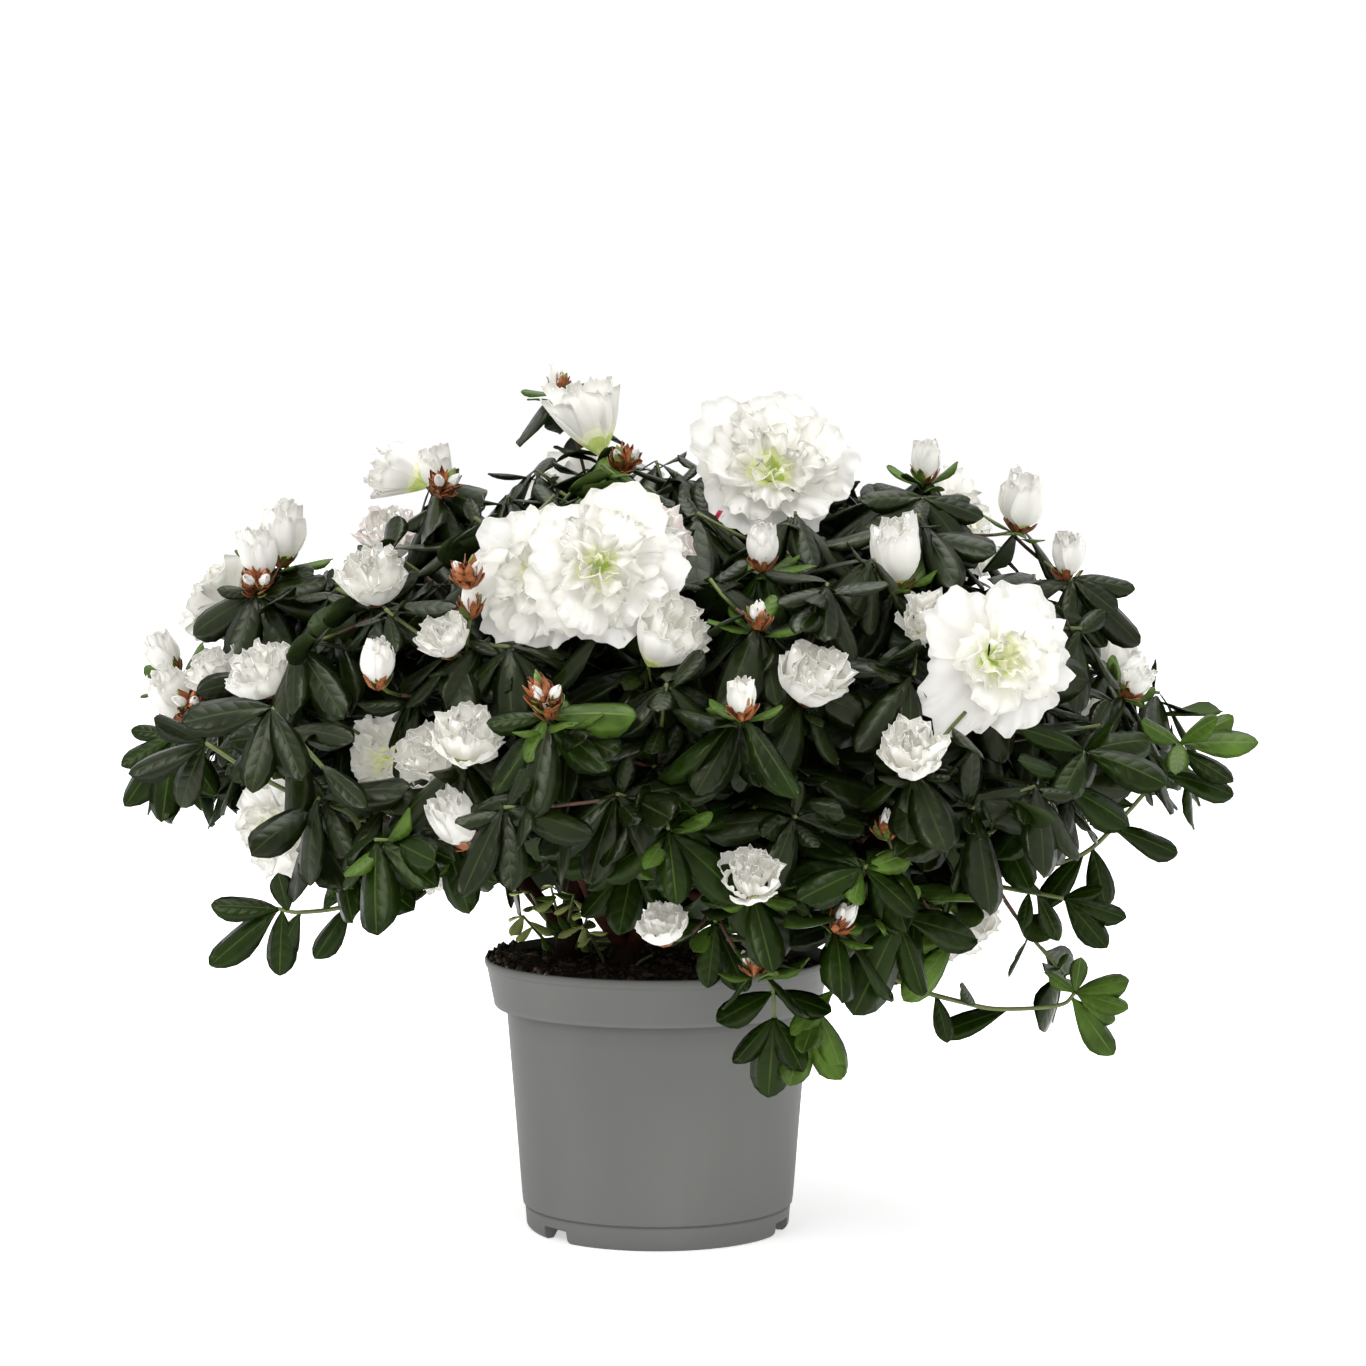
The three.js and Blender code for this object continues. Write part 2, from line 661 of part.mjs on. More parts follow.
function reachTo(node, foot, way) {
  const reach = node.at.distanceTo(foot);
  const bend = mix(node.at, foot, 0.5)
    .addScaledVector(node.way, reach * 0.14)
    .addScaledVector(way, -reach * 0.16);
  return new THREE.QuadraticBezierCurve3(node.at.clone(), bend, foot);
}

function twigFits(mass, curve, blockers) {
  const inside = curve.getPoints(6).every((spot) => roomInCell(mass, spot) > 2.2);
  return inside && clearOf(makeTwig(curve, twig.root, twig.tip), blockers, GAP);
}

// ---------- the whole plant ----------

growBoughs();
const potBody = makePot();
const compostBody = makeCompost();
const boughs = makeBoughs();
const limbs = [potBody, compostBody, mainStem.solid, sideStem.solid, ...boughs.map(({ solid }) => solid)];

const flowers = allFlowers();
const tips = layTips(flowers);
for (const tip of tips) {
  tip.mass = nearestMass(tip.at);
  drawIn(tip.mass, tip.at, hub.radius + 1);
  if (!tip.flower) continue;
  tip.flower.mass = tip.mass;
  tip.flower.base = tip.at;
  const { base, way, width } = tip.flower;
  tip.flower.solid = makeFlower(tip.flower);
  const behind = base.clone().addScaledVector(way, -flowerRoom);
  tip.flower.zone = makeFlower({ ...tip.flower, base: behind, width: width + 2 * flowerRoom });
}

const finish = (color, roughness) => new THREE.MeshStandardMaterial({ color, roughness, metalness: 0 });
const looks = {
  pot: finish(0x7f8581, 0.45),
  compost: finish(0x2b1d16, 0.95),
  bark: finish(0x4a2a22, 0.8),
  foliage: finish(0x2c3f28, 0.5),
};

const plant = new THREE.Group();
plant.add(toMesh('pot', potBody, looks.pot));
plant.add(toMesh('compost', compostBody, looks.compost));
plant.add(toMesh('main_stem', mainStem.solid, looks.bark));
plant.add(toMesh('side_stem', sideStem.solid, looks.bark));
for (const { name, solid } of boughs) plant.add(toMesh(name, solid, looks.bark));
masses.forEach((mass, i) => {
  plant.add(toMesh('foliage_' + mass.name, makeMass(mass, i, tips, flowers, limbs), looks.foliage));
});

export default plant;
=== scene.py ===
import json
import math

import bmesh
import bpy
import numpy as np
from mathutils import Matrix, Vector, noise

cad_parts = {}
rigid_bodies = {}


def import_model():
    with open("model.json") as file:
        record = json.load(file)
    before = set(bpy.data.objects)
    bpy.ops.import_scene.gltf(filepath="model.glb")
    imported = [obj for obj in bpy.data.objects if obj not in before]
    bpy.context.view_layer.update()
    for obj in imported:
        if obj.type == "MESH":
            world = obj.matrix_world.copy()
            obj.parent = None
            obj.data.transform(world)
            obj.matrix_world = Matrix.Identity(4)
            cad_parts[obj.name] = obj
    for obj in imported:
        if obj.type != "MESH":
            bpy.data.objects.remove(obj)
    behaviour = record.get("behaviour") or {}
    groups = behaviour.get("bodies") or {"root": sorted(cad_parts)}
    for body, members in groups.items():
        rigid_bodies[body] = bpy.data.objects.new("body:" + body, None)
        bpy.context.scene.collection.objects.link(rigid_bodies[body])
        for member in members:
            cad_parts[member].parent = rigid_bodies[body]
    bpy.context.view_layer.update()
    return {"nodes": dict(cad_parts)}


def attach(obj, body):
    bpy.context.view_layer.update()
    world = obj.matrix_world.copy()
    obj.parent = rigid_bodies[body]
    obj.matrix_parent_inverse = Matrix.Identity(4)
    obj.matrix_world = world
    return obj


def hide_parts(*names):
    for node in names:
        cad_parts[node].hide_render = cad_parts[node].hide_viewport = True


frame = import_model()
mm = 0.001  # sizes below are millimetres, and Blender's are metres
upright = np.array([0.0, 0.0, 1.0])
goldenTurn = 137.508  # degrees from one leaf of a spiral to the next
seeds = {
    "crumbs": 23, "tips": 11, "fineTips": 40, "leaves": 501, "shoots": 801, "sprouts": 841, "flowers": 901,
    "tufts": 1100, "tipBuds": 1301,
}
print("frame loaded:", len(frame["nodes"]), "nodes")


# small tools

def makeDice(seed):  # the same rule as in the part's source
    state = seed

    def roll():
        nonlocal state
        state = (state * 1664525 + 1013904223) % 4294967296
        return state / 4294967296

    return roll


def vec(*parts):
    return np.array(parts, float)


def unit(v):
    return v / max(np.linalg.norm(v), 1e-9)


def aim(roundDegrees, upDegrees):  # round from the front towards the right, and up
    a, b = math.radians(roundDegrees), math.radians(upDegrees)
    return vec(math.sin(a) * math.cos(b), -math.cos(a) * math.cos(b), math.sin(b))


def bend(a, b, c, count):  # points along a quadratic curve
    t = np.linspace(0, 1, count)[:, None]
    return (1 - t) ** 2 * a + 2 * t * (1 - t) * b + t**2 * c


def bendAt(a, b, c, t):
    return (1 - t) ** 2 * a + 2 * t * (1 - t) * b + t**2 * c


def turned(v, axis, angle):
    axis = unit(axis)
    return v * math.cos(angle) + np.cross(axis, v) * math.sin(angle) + axis * (axis @ v) * (1 - math.cos(angle))


def acrossOf(way):  # any direction square to this one
    other = vec(1, 0, 0) if abs(way[2]) > 0.9 else upright
    return unit(np.cross(other, way))


# meshes are gathered in heaps of points and faces, and each heap becomes one piece

def newHeap():
    return {"spots": [], "faces": [], "looks": [], "blades": [], "count": 0}


def pour(heap, spots, faces, looks, blades=None):  # faces: arrays of one width each, looks: material numbers
    for rows, look in zip(faces, looks):
        heap["faces"].append(np.asarray(rows) + heap["count"])
        heap["looks"].append(np.broadcast_to(look, len(rows)))
    heap["spots"].append(spots)
    if blades is not None:
        heap["blades"].append(blades)
    heap["count"] += len(spots)


def makePiece(name, heap, finishes, nodes):
    mesh = bpy.data.meshes.new(name)
    spots = np.concatenate(heap["spots"]) * mm
    corners = np.concatenate([rows.ravel() for rows in heap["faces"]])
    sizes = np.concatenate([np.full(len(rows), rows.shape[1]) for rows in heap["faces"]])
    mesh.vertices.add(len(spots))
    mesh.vertices.foreach_set("co", spots.ravel())
    mesh.loops.add(len(corners))
    mesh.loops.foreach_set("vertex_index", corners.astype(np.int32))
    mesh.polygons.add(len(sizes))
    mesh.polygons.foreach_set("loop_start", np.concatenate([[0], np.cumsum(sizes)[:-1]]).astype(np.int32))
    for one in finishes:
        mesh.materials.append(one)
    mesh.polygons.foreach_set("material_index", np.concatenate(heap["looks"]).astype(np.int32))
    mesh.update(calc_edges=True)
    if heap["blades"]:  # across and along each blade, for its veins
        places = mesh.uv_layers.new(name="blade")
        places.data.foreach_set("uv", np.concatenate(heap["blades"])[corners].astype(np.float32).ravel())
    mesh.shade_smooth()
    piece = bpy.data.objects.new(name, mesh)
    bpy.context.collection.objects.link(piece)
    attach(piece, "root")
    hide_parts(*nodes)
    print(name + ":", int(np.sum(sizes - 2)), "triangles")
    return piece


def gridFaces(rows, columns, closed=False):  # quads of a grid, its columns joined up if closed
    i, j = np.meshgrid(np.arange(rows - 1), np.arange(columns if closed else columns - 1), indexing="ij")
    i, j = i.ravel(), j.ravel()
    k = (j + 1) % columns
    return np.stack([i * columns + j, i * columns + k, (i + 1) * columns + k, (i + 1) * columns + j], 1)


def addTube(heap, path, radii, sides, look, relief=None):  # a rod with closed ends
    count = len(path)
    ways = np.gradient(path, axis=0)
    ways /= np.linalg.norm(ways, axis=1)[:, None]
    side = acrossOf(ways[0])
    angles = np.arange(sides) * 2 * math.pi / sides
    rings = []
    for i in range(count):
        side = unit(side - ways[i] * (side @ ways[i]))
        other = np.cross(ways[i], side)
        radius = np.full(sides, radii[i])
        if relief is not None:
            radius = radius + relief(path[i], angles, radii[i])
        out = np.cos(angles)[:, None] * side + np.sin(angles)[:, None] * other
        rings.append(path[i] + radius[:, None] * out)
    ends = np.array([path[0], path[-1]])
    n = count * sides
    ring = np.arange(sides)
    after = (ring + 1) % sides
    caps = np.concatenate([
        np.stack([np.full(sides, n), after, ring], 1),
        np.stack([np.full(sides, n + 1), n - sides + ring, n - sides + after], 1),
    ])
    pour(heap, np.concatenate(rings + [ends]), [gridFaces(count, sides, True), caps], [look, look])


# finishes

def newFinish(name, color, roughness, **sockets):
    finish = bpy.data.materials.new(name)
    finish.use_nodes = True
    shader = finish.node_tree.nodes["Principled BSDF"]
    shader.inputs["Base Color"].default_value = (*color, 1)
    shader.inputs["Roughness"].default_value = roughness
    for socket, value in sockets.items():
        shader.inputs[socket.replace("_", " ")].default_value = value
    return finish


def addMottle(finish, color, spread, scale, detail=3.0, squash=1.0):  # lets the colour wander
    tree = finish.node_tree
    place = tree.nodes.new("ShaderNodeTexCoord")
    squeeze = tree.nodes.new("ShaderNodeMapping")
    squeeze.inputs["Scale"].default_value = (1, 1, squash)
    cloud = tree.nodes.new("ShaderNodeTexNoise")
    cloud.inputs["Scale"].default_value = scale
    cloud.inputs["Detail"].default_value = detail
    ramp = tree.nodes.new("ShaderNodeValToRGB")
    ramp.color_ramp.elements[0].position = 0.32
    ramp.color_ramp.elements[1].position = 0.68
    ramp.color_ramp.elements[0].color = (*[c * (1 - spread) for c in color], 1)
    ramp.color_ramp.elements[1].color = (*[min(1, c * (1 + spread)) for c in color], 1)
    tree.links.new(place.outputs["Object"], squeeze.inputs["Vector"])
    tree.links.new(squeeze.outputs["Vector"], cloud.inputs["Vector"])
    tree.links.new(cloud.outputs["Fac"], ramp.inputs["Fac"])
    tree.links.new(ramp.outputs["Color"], tree.nodes["Principled BSDF"].inputs["Base Color"])
    return finish


def addBump(finish, scale, height, detail=4.0, strength=0.6):  # height in millimetres
    tree = finish.node_tree
    place = tree.nodes.new("ShaderNodeTexCoord")
    grain = tree.nodes.new("ShaderNodeTexNoise")
    grain.inputs["Scale"].default_value = scale
    grain.inputs["Detail"].default_value = detail
    bump = tree.nodes.new("ShaderNodeBump")
    bump.inputs["Strength"].default_value = strength
    bump.inputs["Distance"].default_value = height * mm
    tree.links.new(place.outputs["Object"], grain.inputs["Vector"])
    tree.links.new(grain.outputs["Fac"], bump.inputs["Height"])
    tree.links.new(bump.outputs["Normal"], tree.nodes["Principled BSDF"].inputs["Normal"])
    return finish


def fullFinish(name, color, roughness, mottle, bump, **sockets):  # mottle and bump as the two above take them
    return addBump(addMottle(newFinish(name, color, roughness, **sockets), color, *mottle), *bump)


# camera, light and floor

view = {"place": (0.011, -1.8, 0.378), "aimAt": (0.011, 0, 0.237), "lens": 110.15}
studio = {  # metres and watts
    "world": 1.02,
    "key": {"place": (-1.3, -1.9, 2.3), "size": 1.2, "watts": 42},
    "fill": {"place": (1.3, -2.3, 1.0), "size": 1.6, "watts": 7},
    "top": {"place": (0.1, 0.3, 2.4), "size": 1.5, "watts": 36},
    "lampsAimAt": (0, 0, 0.2),
    "floorColor": (0.95, 0.95, 0.95),
    "floorGlow": 0.5,
}


def turnTo(place, target):
    return (Vector(target) - Vector(place)).to_track_quat("-Z", "Y").to_euler()


def setStage():
    lens = bpy.data.cameras.new("viewpoint")
    lens.lens = view["lens"]
    lens.sensor_width = 36
    eye = bpy.data.objects.new("viewpoint", lens)
    eye.location = view["place"]
    eye.rotation_euler = turnTo(view["place"], view["aimAt"])
    bpy.context.collection.objects.link(eye)
    bpy.context.scene.camera = eye
    bpy.context.scene.view_settings.view_transform = "Standard"
    world = bpy.data.worlds.new("paleRoom")
    world.use_nodes = True
    background = world.node_tree.nodes["Background"]
    background.inputs["Color"].default_value = (1, 1, 1, 1)
    background.inputs["Strength"].default_value = studio["world"]
    bpy.context.scene.world = world
    for name in ("key", "fill", "top"):
        lamp = studio[name]
        light = bpy.data.lights.new(name + "Light", "AREA")
        light.size = lamp["size"]
        light.energy = lamp["watts"]
        holder = bpy.data.objects.new(name + "Light", light)
        holder.location = lamp["place"]
        holder.rotation_euler = turnTo(lamp["place"], studio["lampsAimAt"])
        bpy.context.collection.objects.link(holder)
    bpy.ops.mesh.primitive_plane_add(size=12)
    floor = bpy.context.object
    floor.name = "floor"
    glow = {"Emission_Color": (1, 1, 1, 1), "Emission_Strength": studio["floorGlow"]}
    floor.data.materials.append(newFinish("paleFloor", studio["floorColor"], 0.9, **glow))
    print("stage set")


setStage()

# the pot

pot = {
    "rimRadius": 75, "height": 118.5, "rimDepth": 21, "rimDraft": 4, "collarStep": 5,
    "footRadius": 57.2, "wall": 1.6, "floorRise": 3, "padRadius": 20, "footWidth": 5, "footHeight": 10.5,
    # seamShade: how dark the shade painted into the pot's corners and grooves is
    "facets": 160, "color": (0.143, 0.146, 0.138), "roughness": 0.48, "seamShade": 0.42,
}
notch = {"width": 17, "height": 6, "depth": 16, "count": 3, "firstAt": -50}
drain = {"radius": 3.5, "at": 37, "count": 4}


def potProfile():  # radius and height, from the middle of the underside round to the inside floor
    rim, high, foot, wall = pot["rimRadius"], pot["height"], pot["footRadius"], pot["wall"]
    collarFoot = rim - pot["rimDraft"]
    wallTop = collarFoot - pot["collarStep"]
    lip = high - pot["rimDepth"]
    inside = foot - pot["footWidth"]
    floor = pot["floorRise"] + wall
    line = pot["footHeight"]
    return [
        (0, 0), (pot["padRadius"] - 0.6, 0), (pot["padRadius"], 0.3), (pot["padRadius"] + 2, pot["floorRise"]),
        (inside - 2, pot["floorRise"]), (inside - 0.3, 0.4), (inside + 0.3, 0), (foot - 2, 0), (foot - 1.2, 0.5),
        (foot - 0.2, 1.6), (foot, 2.6), (foot + 0.55, line - 0.9), (foot + 0.6, line - 0.4), (foot + 0.35, line),
        (foot + 0.6, line + 0.4), (foot + 1.45, line + 0.8), (foot + 1.8, line + 3.5), (wallTop - 0.6, lip - 4),
        (wallTop, lip + 1.6), (wallTop + 0.5, lip + 2.2), (collarFoot - 1.9, lip + 2.1),
        (collarFoot - 1.6, lip + 0.4), (collarFoot - 1.1, lip), (collarFoot - 0.5, lip + 0.1),
        (collarFoot, lip + 0.7), (collarFoot + 0.3, lip + 2.5),
        (rim - 0.95, high - 4.2), (rim - 0.75, high - 3.6), (rim - 0.15, high - 3.1), (rim, high - 2.4),
        (rim, high - 0.8), (rim - 0.35, high - 0.2), (rim - 0.8, high), (rim - 1.3, high - 0.15),
        (rim - wall, high - 0.8), (collarFoot - wall, lip + 4), (collarFoot - wall - 0.8, lip + 2.2),
        (wallTop - wall + 0.4, lip + 1.2), (wallTop - wall - 0.2, lip - 0.6), (foot - 1.2, floor + 2.4),
        (foot - 2.2, floor + 0.6), (foot - 3.4, floor), (0, floor),
    ]


def latheSpots(profile, facets):
    angles = np.arange(facets) * 2 * math.pi / facets
    rings = [np.stack([r * np.sin(angles), -r * np.cos(angles), np.full(facets, z)], 1) for r, z in profile[1:-1]]
    ends = np.array([(0, 0, profile[0][1]), (0, 0, profile[-1][1])], float)
    return np.concatenate(rings + [ends])


def latheFaces(count, facets):
    n = (count - 2) * facets
    ring = np.arange(facets)
    after = (ring + 1) % facets
    low = np.stack([np.full(facets, n), after, ring], 1)
    high = np.stack([np.full(facets, n + 1), n - facets + ring, n - facets + after], 1)
    return gridFaces(count - 2, facets, True), np.concatenate([low, high])


def addSeamShade(finish):  # painted shade in the corner under the collar, in the groove over the foot and under the rim's bead, and darker towards the bottom
    tree = finish.node_tree
    place = tree.nodes.new("ShaderNodeTexCoord")
    split = tree.nodes.new("ShaderNodeSeparateXYZ")
    band = tree.nodes.new("ShaderNodeValToRGB")
    blend = tree.nodes.new("ShaderNodeMix")
    blend.data_type, blend.blend_type = "RGBA", "MULTIPLY"
    blend.inputs["Factor"].default_value = 1
    reach = tree.nodes.new("ShaderNodeMapRange")
    reach.inputs["From Max"].default_value = pot["height"] * mm
    lip, line = pot["height"] - pot["rimDepth"], pot["footHeight"]
    marks = [  # height and darkness
        (0, 0.25), (line - 1.2, 0), (line, 0.8), (line + 0.5, 0), (lip - 11, 0), (lip - 4, 0.22),
        (lip - 1.4, 0.7), (lip, 1), (lip + 0.4, 0),
        (pot["height"] - 4.6, 0), (pot["height"] - 3.7, 0.5), (pot["height"] - 2.9, 0),
    ]
    ramp = band.color_ramp
    while len(ramp.elements) < len(marks):
        ramp.elements.new(1)
    for one, (height, dark) in zip(ramp.elements, marks):
        one.position = height / pot["height"]
        one.color = (*[1 - dark * pot["seamShade"]] * 3, 1)
    shader = tree.nodes["Principled BSDF"]
    tree.links.new(place.outputs["Object"], split.inputs[0])
    tree.links.new(split.outputs["Z"], reach.inputs["Value"])
    tree.links.new(reach.outputs[0], band.inputs["Fac"])
    tree.links.new(shader.inputs["Base Color"].links[0].from_socket, blend.inputs["A"])
    tree.links.new(band.outputs["Color"], blend.inputs["B"])
    tree.links.new(blend.outputs["Result"], shader.inputs["Base Color"])


def makePot():
    look = (pot["color"], pot["roughness"], (0.07, 16, 5, 0.3), (2600, 0.05, 2, 0.25))
    plastic = fullFinish("greyPlastic", *look, Specular_IOR_Level=0.05)
    # painted shade under the collar, in the grooves and towards the bottom
    addSeamShade(plastic)
    heap = newHeap()
    profile = potProfile()
    quads, fans = latheFaces(len(profile), pot["facets"])
    pour(heap, latheSpots(profile, pot["facets"]), [quads, fans], [0, 0])
    piece = makePiece("potShell", heap, [plastic], ["pot"])
    cutter = bmesh.new()
    for i in range(notch["count"]):
        way = aim(notch["firstAt"] + i * 360 / notch["count"], 0) * pot["footRadius"] * mm
        block = bmesh.ops.create_cube(cutter, size=1)["verts"]
        for spot in block:  # the ends of the notch slope outwards as they go down
            flare = 1 if spot.co.z < 0 else 0.86
            size = (notch["depth"], notch["width"] * flare, notch["height"] * 2)
            spot.co = Vector([one * share for one, share in zip(size, spot.co)]) * mm
        turn = Vector(way).to_track_quat("X", "Z").to_matrix().to_4x4()
        bmesh.ops.transform(cutter, matrix=turn, verts=block)
        bmesh.ops.translate(cutter, vec=Vector(way), verts=block)
    for i in range(drain["count"]):
        way = aim((i + 0.5) * 360 / drain["count"], 0) * drain["at"] * mm
        wide = drain["radius"] * mm
        hole = bmesh.ops.create_cone(cutter, cap_ends=True, segments=24, radius1=wide, radius2=wide, depth=0.02)
        bmesh.ops.translate(cutter, vec=Vector(way), verts=hole["verts"])
    mesh = bpy.data.meshes.new("potCuts")
    cutter.to_mesh(mesh)
    cuts = bpy.data.objects.new("potCuts", mesh)
    bpy.context.collection.objects.link(cuts)
    cut = piece.modifiers.new("cut", "BOOLEAN")
    cut.operation, cut.solver, cut.object = "DIFFERENCE", "EXACT", cuts
    bpy.context.view_layer.objects.active = piece
    bpy.ops.object.modifier_apply(modifier="cut")
    bpy.data.objects.remove(cuts)
    piece.data.shade_smooth()
    piece.data.set_sharp_from_angle(angle=math.radians(38))


makePot()

# the compost

compost = {
    "top": 115.5, "edgeDrop": 2.2, "swell": 1.6, "facets": 120, "crumbs": 1500, "crumbSize": (0.5, 2.0),
    "crumbReach": 71, "fibres": 70, "fibreReach": 70, "fibreRadius": 0.22,
    "dark": (0.024, 0.015, 0.01), "pale": (0.085, 0.053, 0.034),
    "heap": {"at": (-64, -9), "height": 5.6, "reach": 21},
    "spill": {"count": 60, "from": 148, "to": 232},  # crumbs on the rim, in degrees round
}
stems = {
    "main": {"foot": (-14, -8), "lean": (1, 1), "height": 9.5, "radius": 5.2, "flare": 3.2, "head": 6.4},
    "side": {"foot": (-38, 13), "lean": (-1, 2), "height": 14, "radius": 5.4, "flare": 3.6, "head": 6.6},
}


def soilHeight(x, y):
    r = math.hypot(x, y)
    lump = noise.noise(Vector((x, y, 3)) * 0.09) * compost["swell"] + noise.noise(Vector((x, y, 9)) * 0.4) * 0.7
    drop = compost["edgeDrop"] * max(0, (r - 45) / 25) ** 2
    near = min(math.hypot(x - s["foot"][0], y - s["foot"][1]) for s in stems.values())
    heap = compost["heap"]
    away = math.hypot(x - heap["at"][0], y - heap["at"][1]) / heap["reach"]
    piled = heap["height"] * math.exp(-away * away)
    return compost["top"] - 0.2 - drop + piled + (lump if near > 12 else 0.3 * lump)


def makeCompost():
    peat = fullFinish("peat", compost["dark"], 0.95, (0.5, 260, 4), (900, 0.6, 6, 0.9))
    crumbs = fullFinish("peatCrumb", compost["pale"], 0.95, (0.6, 180, 3), (1100, 0.3, 4, 0.8))
    floor = pot["floorRise"] + pot["wall"] + 0.3
    lip = pot["height"] - pot["rimDepth"]
    wallTop = pot["rimRadius"] - pot["rimDraft"] - pot["collarStep"] - pot["wall"] - 0.3
    edge = pot["rimRadius"] - pot["rimDraft"] - pot["wall"] - 0.3
    side = [
        (0, floor), (pot["footRadius"] - 3.6, floor), (wallTop - 0.4, lip - 0.6), (wallTop, lip + 1.2),
        (edge - 0.4, lip + 4),
    ]
    top = [(r, 0) for r in np.linspace(edge + 1, 2, 34)] + [(0, 0)]
    profile = side + top
    facets = compost["facets"]
    spots = latheSpots(profile, facets)
    for i in range((len(side) - 1) * facets, len(spots)):
        if i != len(spots) - 2:
            spots[i][2] = soilHeight(spots[i][0], spots[i][1])
    heap = newHeap()
    quads, fans = latheFaces(len(profile), facets)
    pour(heap, spots, [quads, fans], [0, 0])
    addCrumbs(heap, makeDice(seeds["crumbs"]))
    makePiece("peatFill", heap, [peat, crumbs], ["compost"])


def addCrumbs(heap, roll):  # crumbs in the soil and on the rim, and short fibres
    ball = bmesh.new()
    bmesh.ops.create_icosphere(ball, subdivisions=1, radius=1)
    shape = np.array([v.co for v in ball.verts])
    sides = np.array([[v.index for v in f.verts] for f in ball.faces])
    small, large = compost["crumbSize"]
    for _ in range(compost["crumbs"]):
        r, a = compost["crumbReach"] * math.sqrt(roll()), roll() * 2 * math.pi
        x, y = r * math.cos(a), r * math.sin(a)
        size = small + (large - small) * roll() ** 3
        rough = np.array([0.6 + 0.8 * roll() for _ in shape])[:, None]
        squash = vec(0.7 + 0.8 * roll(), 0.7 + 0.8 * roll(), 0.5 + 0.5 * roll())
        spot = vec(x, y, soilHeight(x, y) + 0.3 * size)
        pour(heap, shape * rough * squash * size + spot, [sides], [1 if roll() > 0.45 else 0])
    spill = compost["spill"]
    for _ in range(spill["count"]):
        r = pot["rimRadius"] - 0.6 - 5 * roll()
        a = math.radians(spill["from"] + (spill["to"] - spill["from"]) * roll())
        size = 0.6 + 1.3 * roll() ** 2
        rough = np.array([0.6 + 0.8 * roll() for _ in shape])[:, None]
        spot = vec(r * math.cos(a), r * math.sin(a), pot["height"] + 0.35 * size)
        pour(heap, shape * rough * size + spot, [sides], [1 if roll() > 0.6 else 0])
    for _ in range(compost["fibres"]):
        r, a = compost["fibreReach"] * math.sqrt(roll()), roll() * 2 * math.pi
        x, y = r * math.cos(a), r * math.sin(a)
        start = vec(x, y, soilHeight(x, y) + 0.4)
        way = aim(roll() * 360, 8 + 16 * roll()) * (3 + 7 * roll())
        path = bend(start, start + way * 0.6, start + way + vec(0, 0, -0.8), 5)
        addTube(heap, path, np.full(5, compost["fibreRadius"]), 4, 1)


makeCompost()

# the crown's shape and its masses, by the same rule as the solids

crown = {"middle": vec(8, 0, 190), "side": 222, "depth": 200, "rise": 150, "drop": 112}
hemAcross = [-250, -200, -150, -95, 20, 100, 140, 170, 200, 250]
hemHeights = [200, 188, 164, 144, 116, 114, 157, 176, 186, 194]
hemLift = {"height": 168, "from": -82, "to": 24}  # in front of the stems
leafReach = 24


def onCrown(way, share=1.0):
    height = crown["rise"] if way[2] > 0 else crown["drop"]
    return way * vec(crown["side"], crown["depth"], height) * share + crown["middle"]


def growStem(stem):
    low = vec(*stem["foot"], compost["top"] + 0.3)
    top = low + vec(*stem["lean"], stem["height"])
    return {**stem, "low": low, "top": top, "fork": top - vec(0, 0, 3)}


mainStem, sideStem = growStem(stems["main"]), growStem(stems["side"])
shoulders = [
    ("front_right", mainStem), ("right", mainStem), ("back", sideStem), ("left", sideStem),
    ("front_left", mainStem),
]
skirt = [
    ("front", "front_left"), ("right_of_front", "front_right"), ("front_of_right", "front_right"),
    ("back_of_right", "right"), ("right_of_back", "back"), ("left_of_back", "back"),
    ("back_of_left", "left"), ("front_of_left", "left"), ("left_of_front", "front_left"),
]
massRule = {"topShare": 0.6, "share": 0.68, "shoulderRise": 40, "skirtRise": -6}  # where each mass has its heart
boughSize = {"root": 4, "tip": 2.1, "sideRoot": 2.6, "sideTip": 1.7, "rise": 38, "topRise": 76}


def layMasses():
    masses = [{"name": "top", "round": 150, "heart": onCrown(upright, massRule["topShare"]), "stem": sideStem}]
    for i, (side, stem) in enumerate(shoulders):
        heart = onCrown(aim(36 + i * 72, massRule["shoulderRise"]), massRule["share"])
        masses.append({"name": "upper_" + side, "round": 36 + i * 72, "heart": heart, "stem": stem})
    for i, (side, parent) in enumerate(skirt):
        heart = onCrown(aim(i * 40, massRule["skirtRise"]), massRule["share"])
        masses.append({"name": "lower_" + side, "round": i * 40, "heart": heart, "parent": "upper_" + parent})
    byName = {mass["name"]: mass for mass in masses}
    taken = set()
    for mass in masses:
        if "parent" in mass:
            a, b, c = byName[mass["parent"]]["curve"]
            start = bendAt(a, b, c, 0.6 if mass["parent"] in taken else 0.36)
            taken.add(mass["parent"])
            rise, share, radii = -4, 0.6, (boughSize["sideRoot"], boughSize["sideTip"])
        else:
            start = mass["stem"]["fork"]
            rise = boughSize["topRise"] if mass["name"] == "top" else boughSize["rise"]
            share, radii = 0.66, (boughSize["root"], boughSize["tip"])
        end = start + (mass["heart"] - start) * share
        mid = start + aim(mass["round"], rise) * np.linalg.norm(end - start) * 0.5
        mass["curve"], mass["radii"] = (start, mid, end), radii
    return masses


masses = layMasses()
hearts = np.array([mass["heart"] for mass in masses])
massNodes = ["foliage_" + mass["name"] for mass in masses]
boughNodes = ["bough_" + mass["name"] for mass in masses]

# stems and boughs with their bark

barkLook = {
    "old": (0.02, 0.012, 0.0075), "young": (0.031, 0.01, 0.0055), "ridges": 0.1, "shine": 0.08,
    "stemRings": 22, "stemSides": 28, "boughRings": 26, "boughSides": 14, "wander": 1.6,
}
# an old stem, cut back
stump = {"foot": (-41, 5, 108), "top": (-38, -1, 132), "radii": (7, 4.4), "rings": 14, "sides": 16}


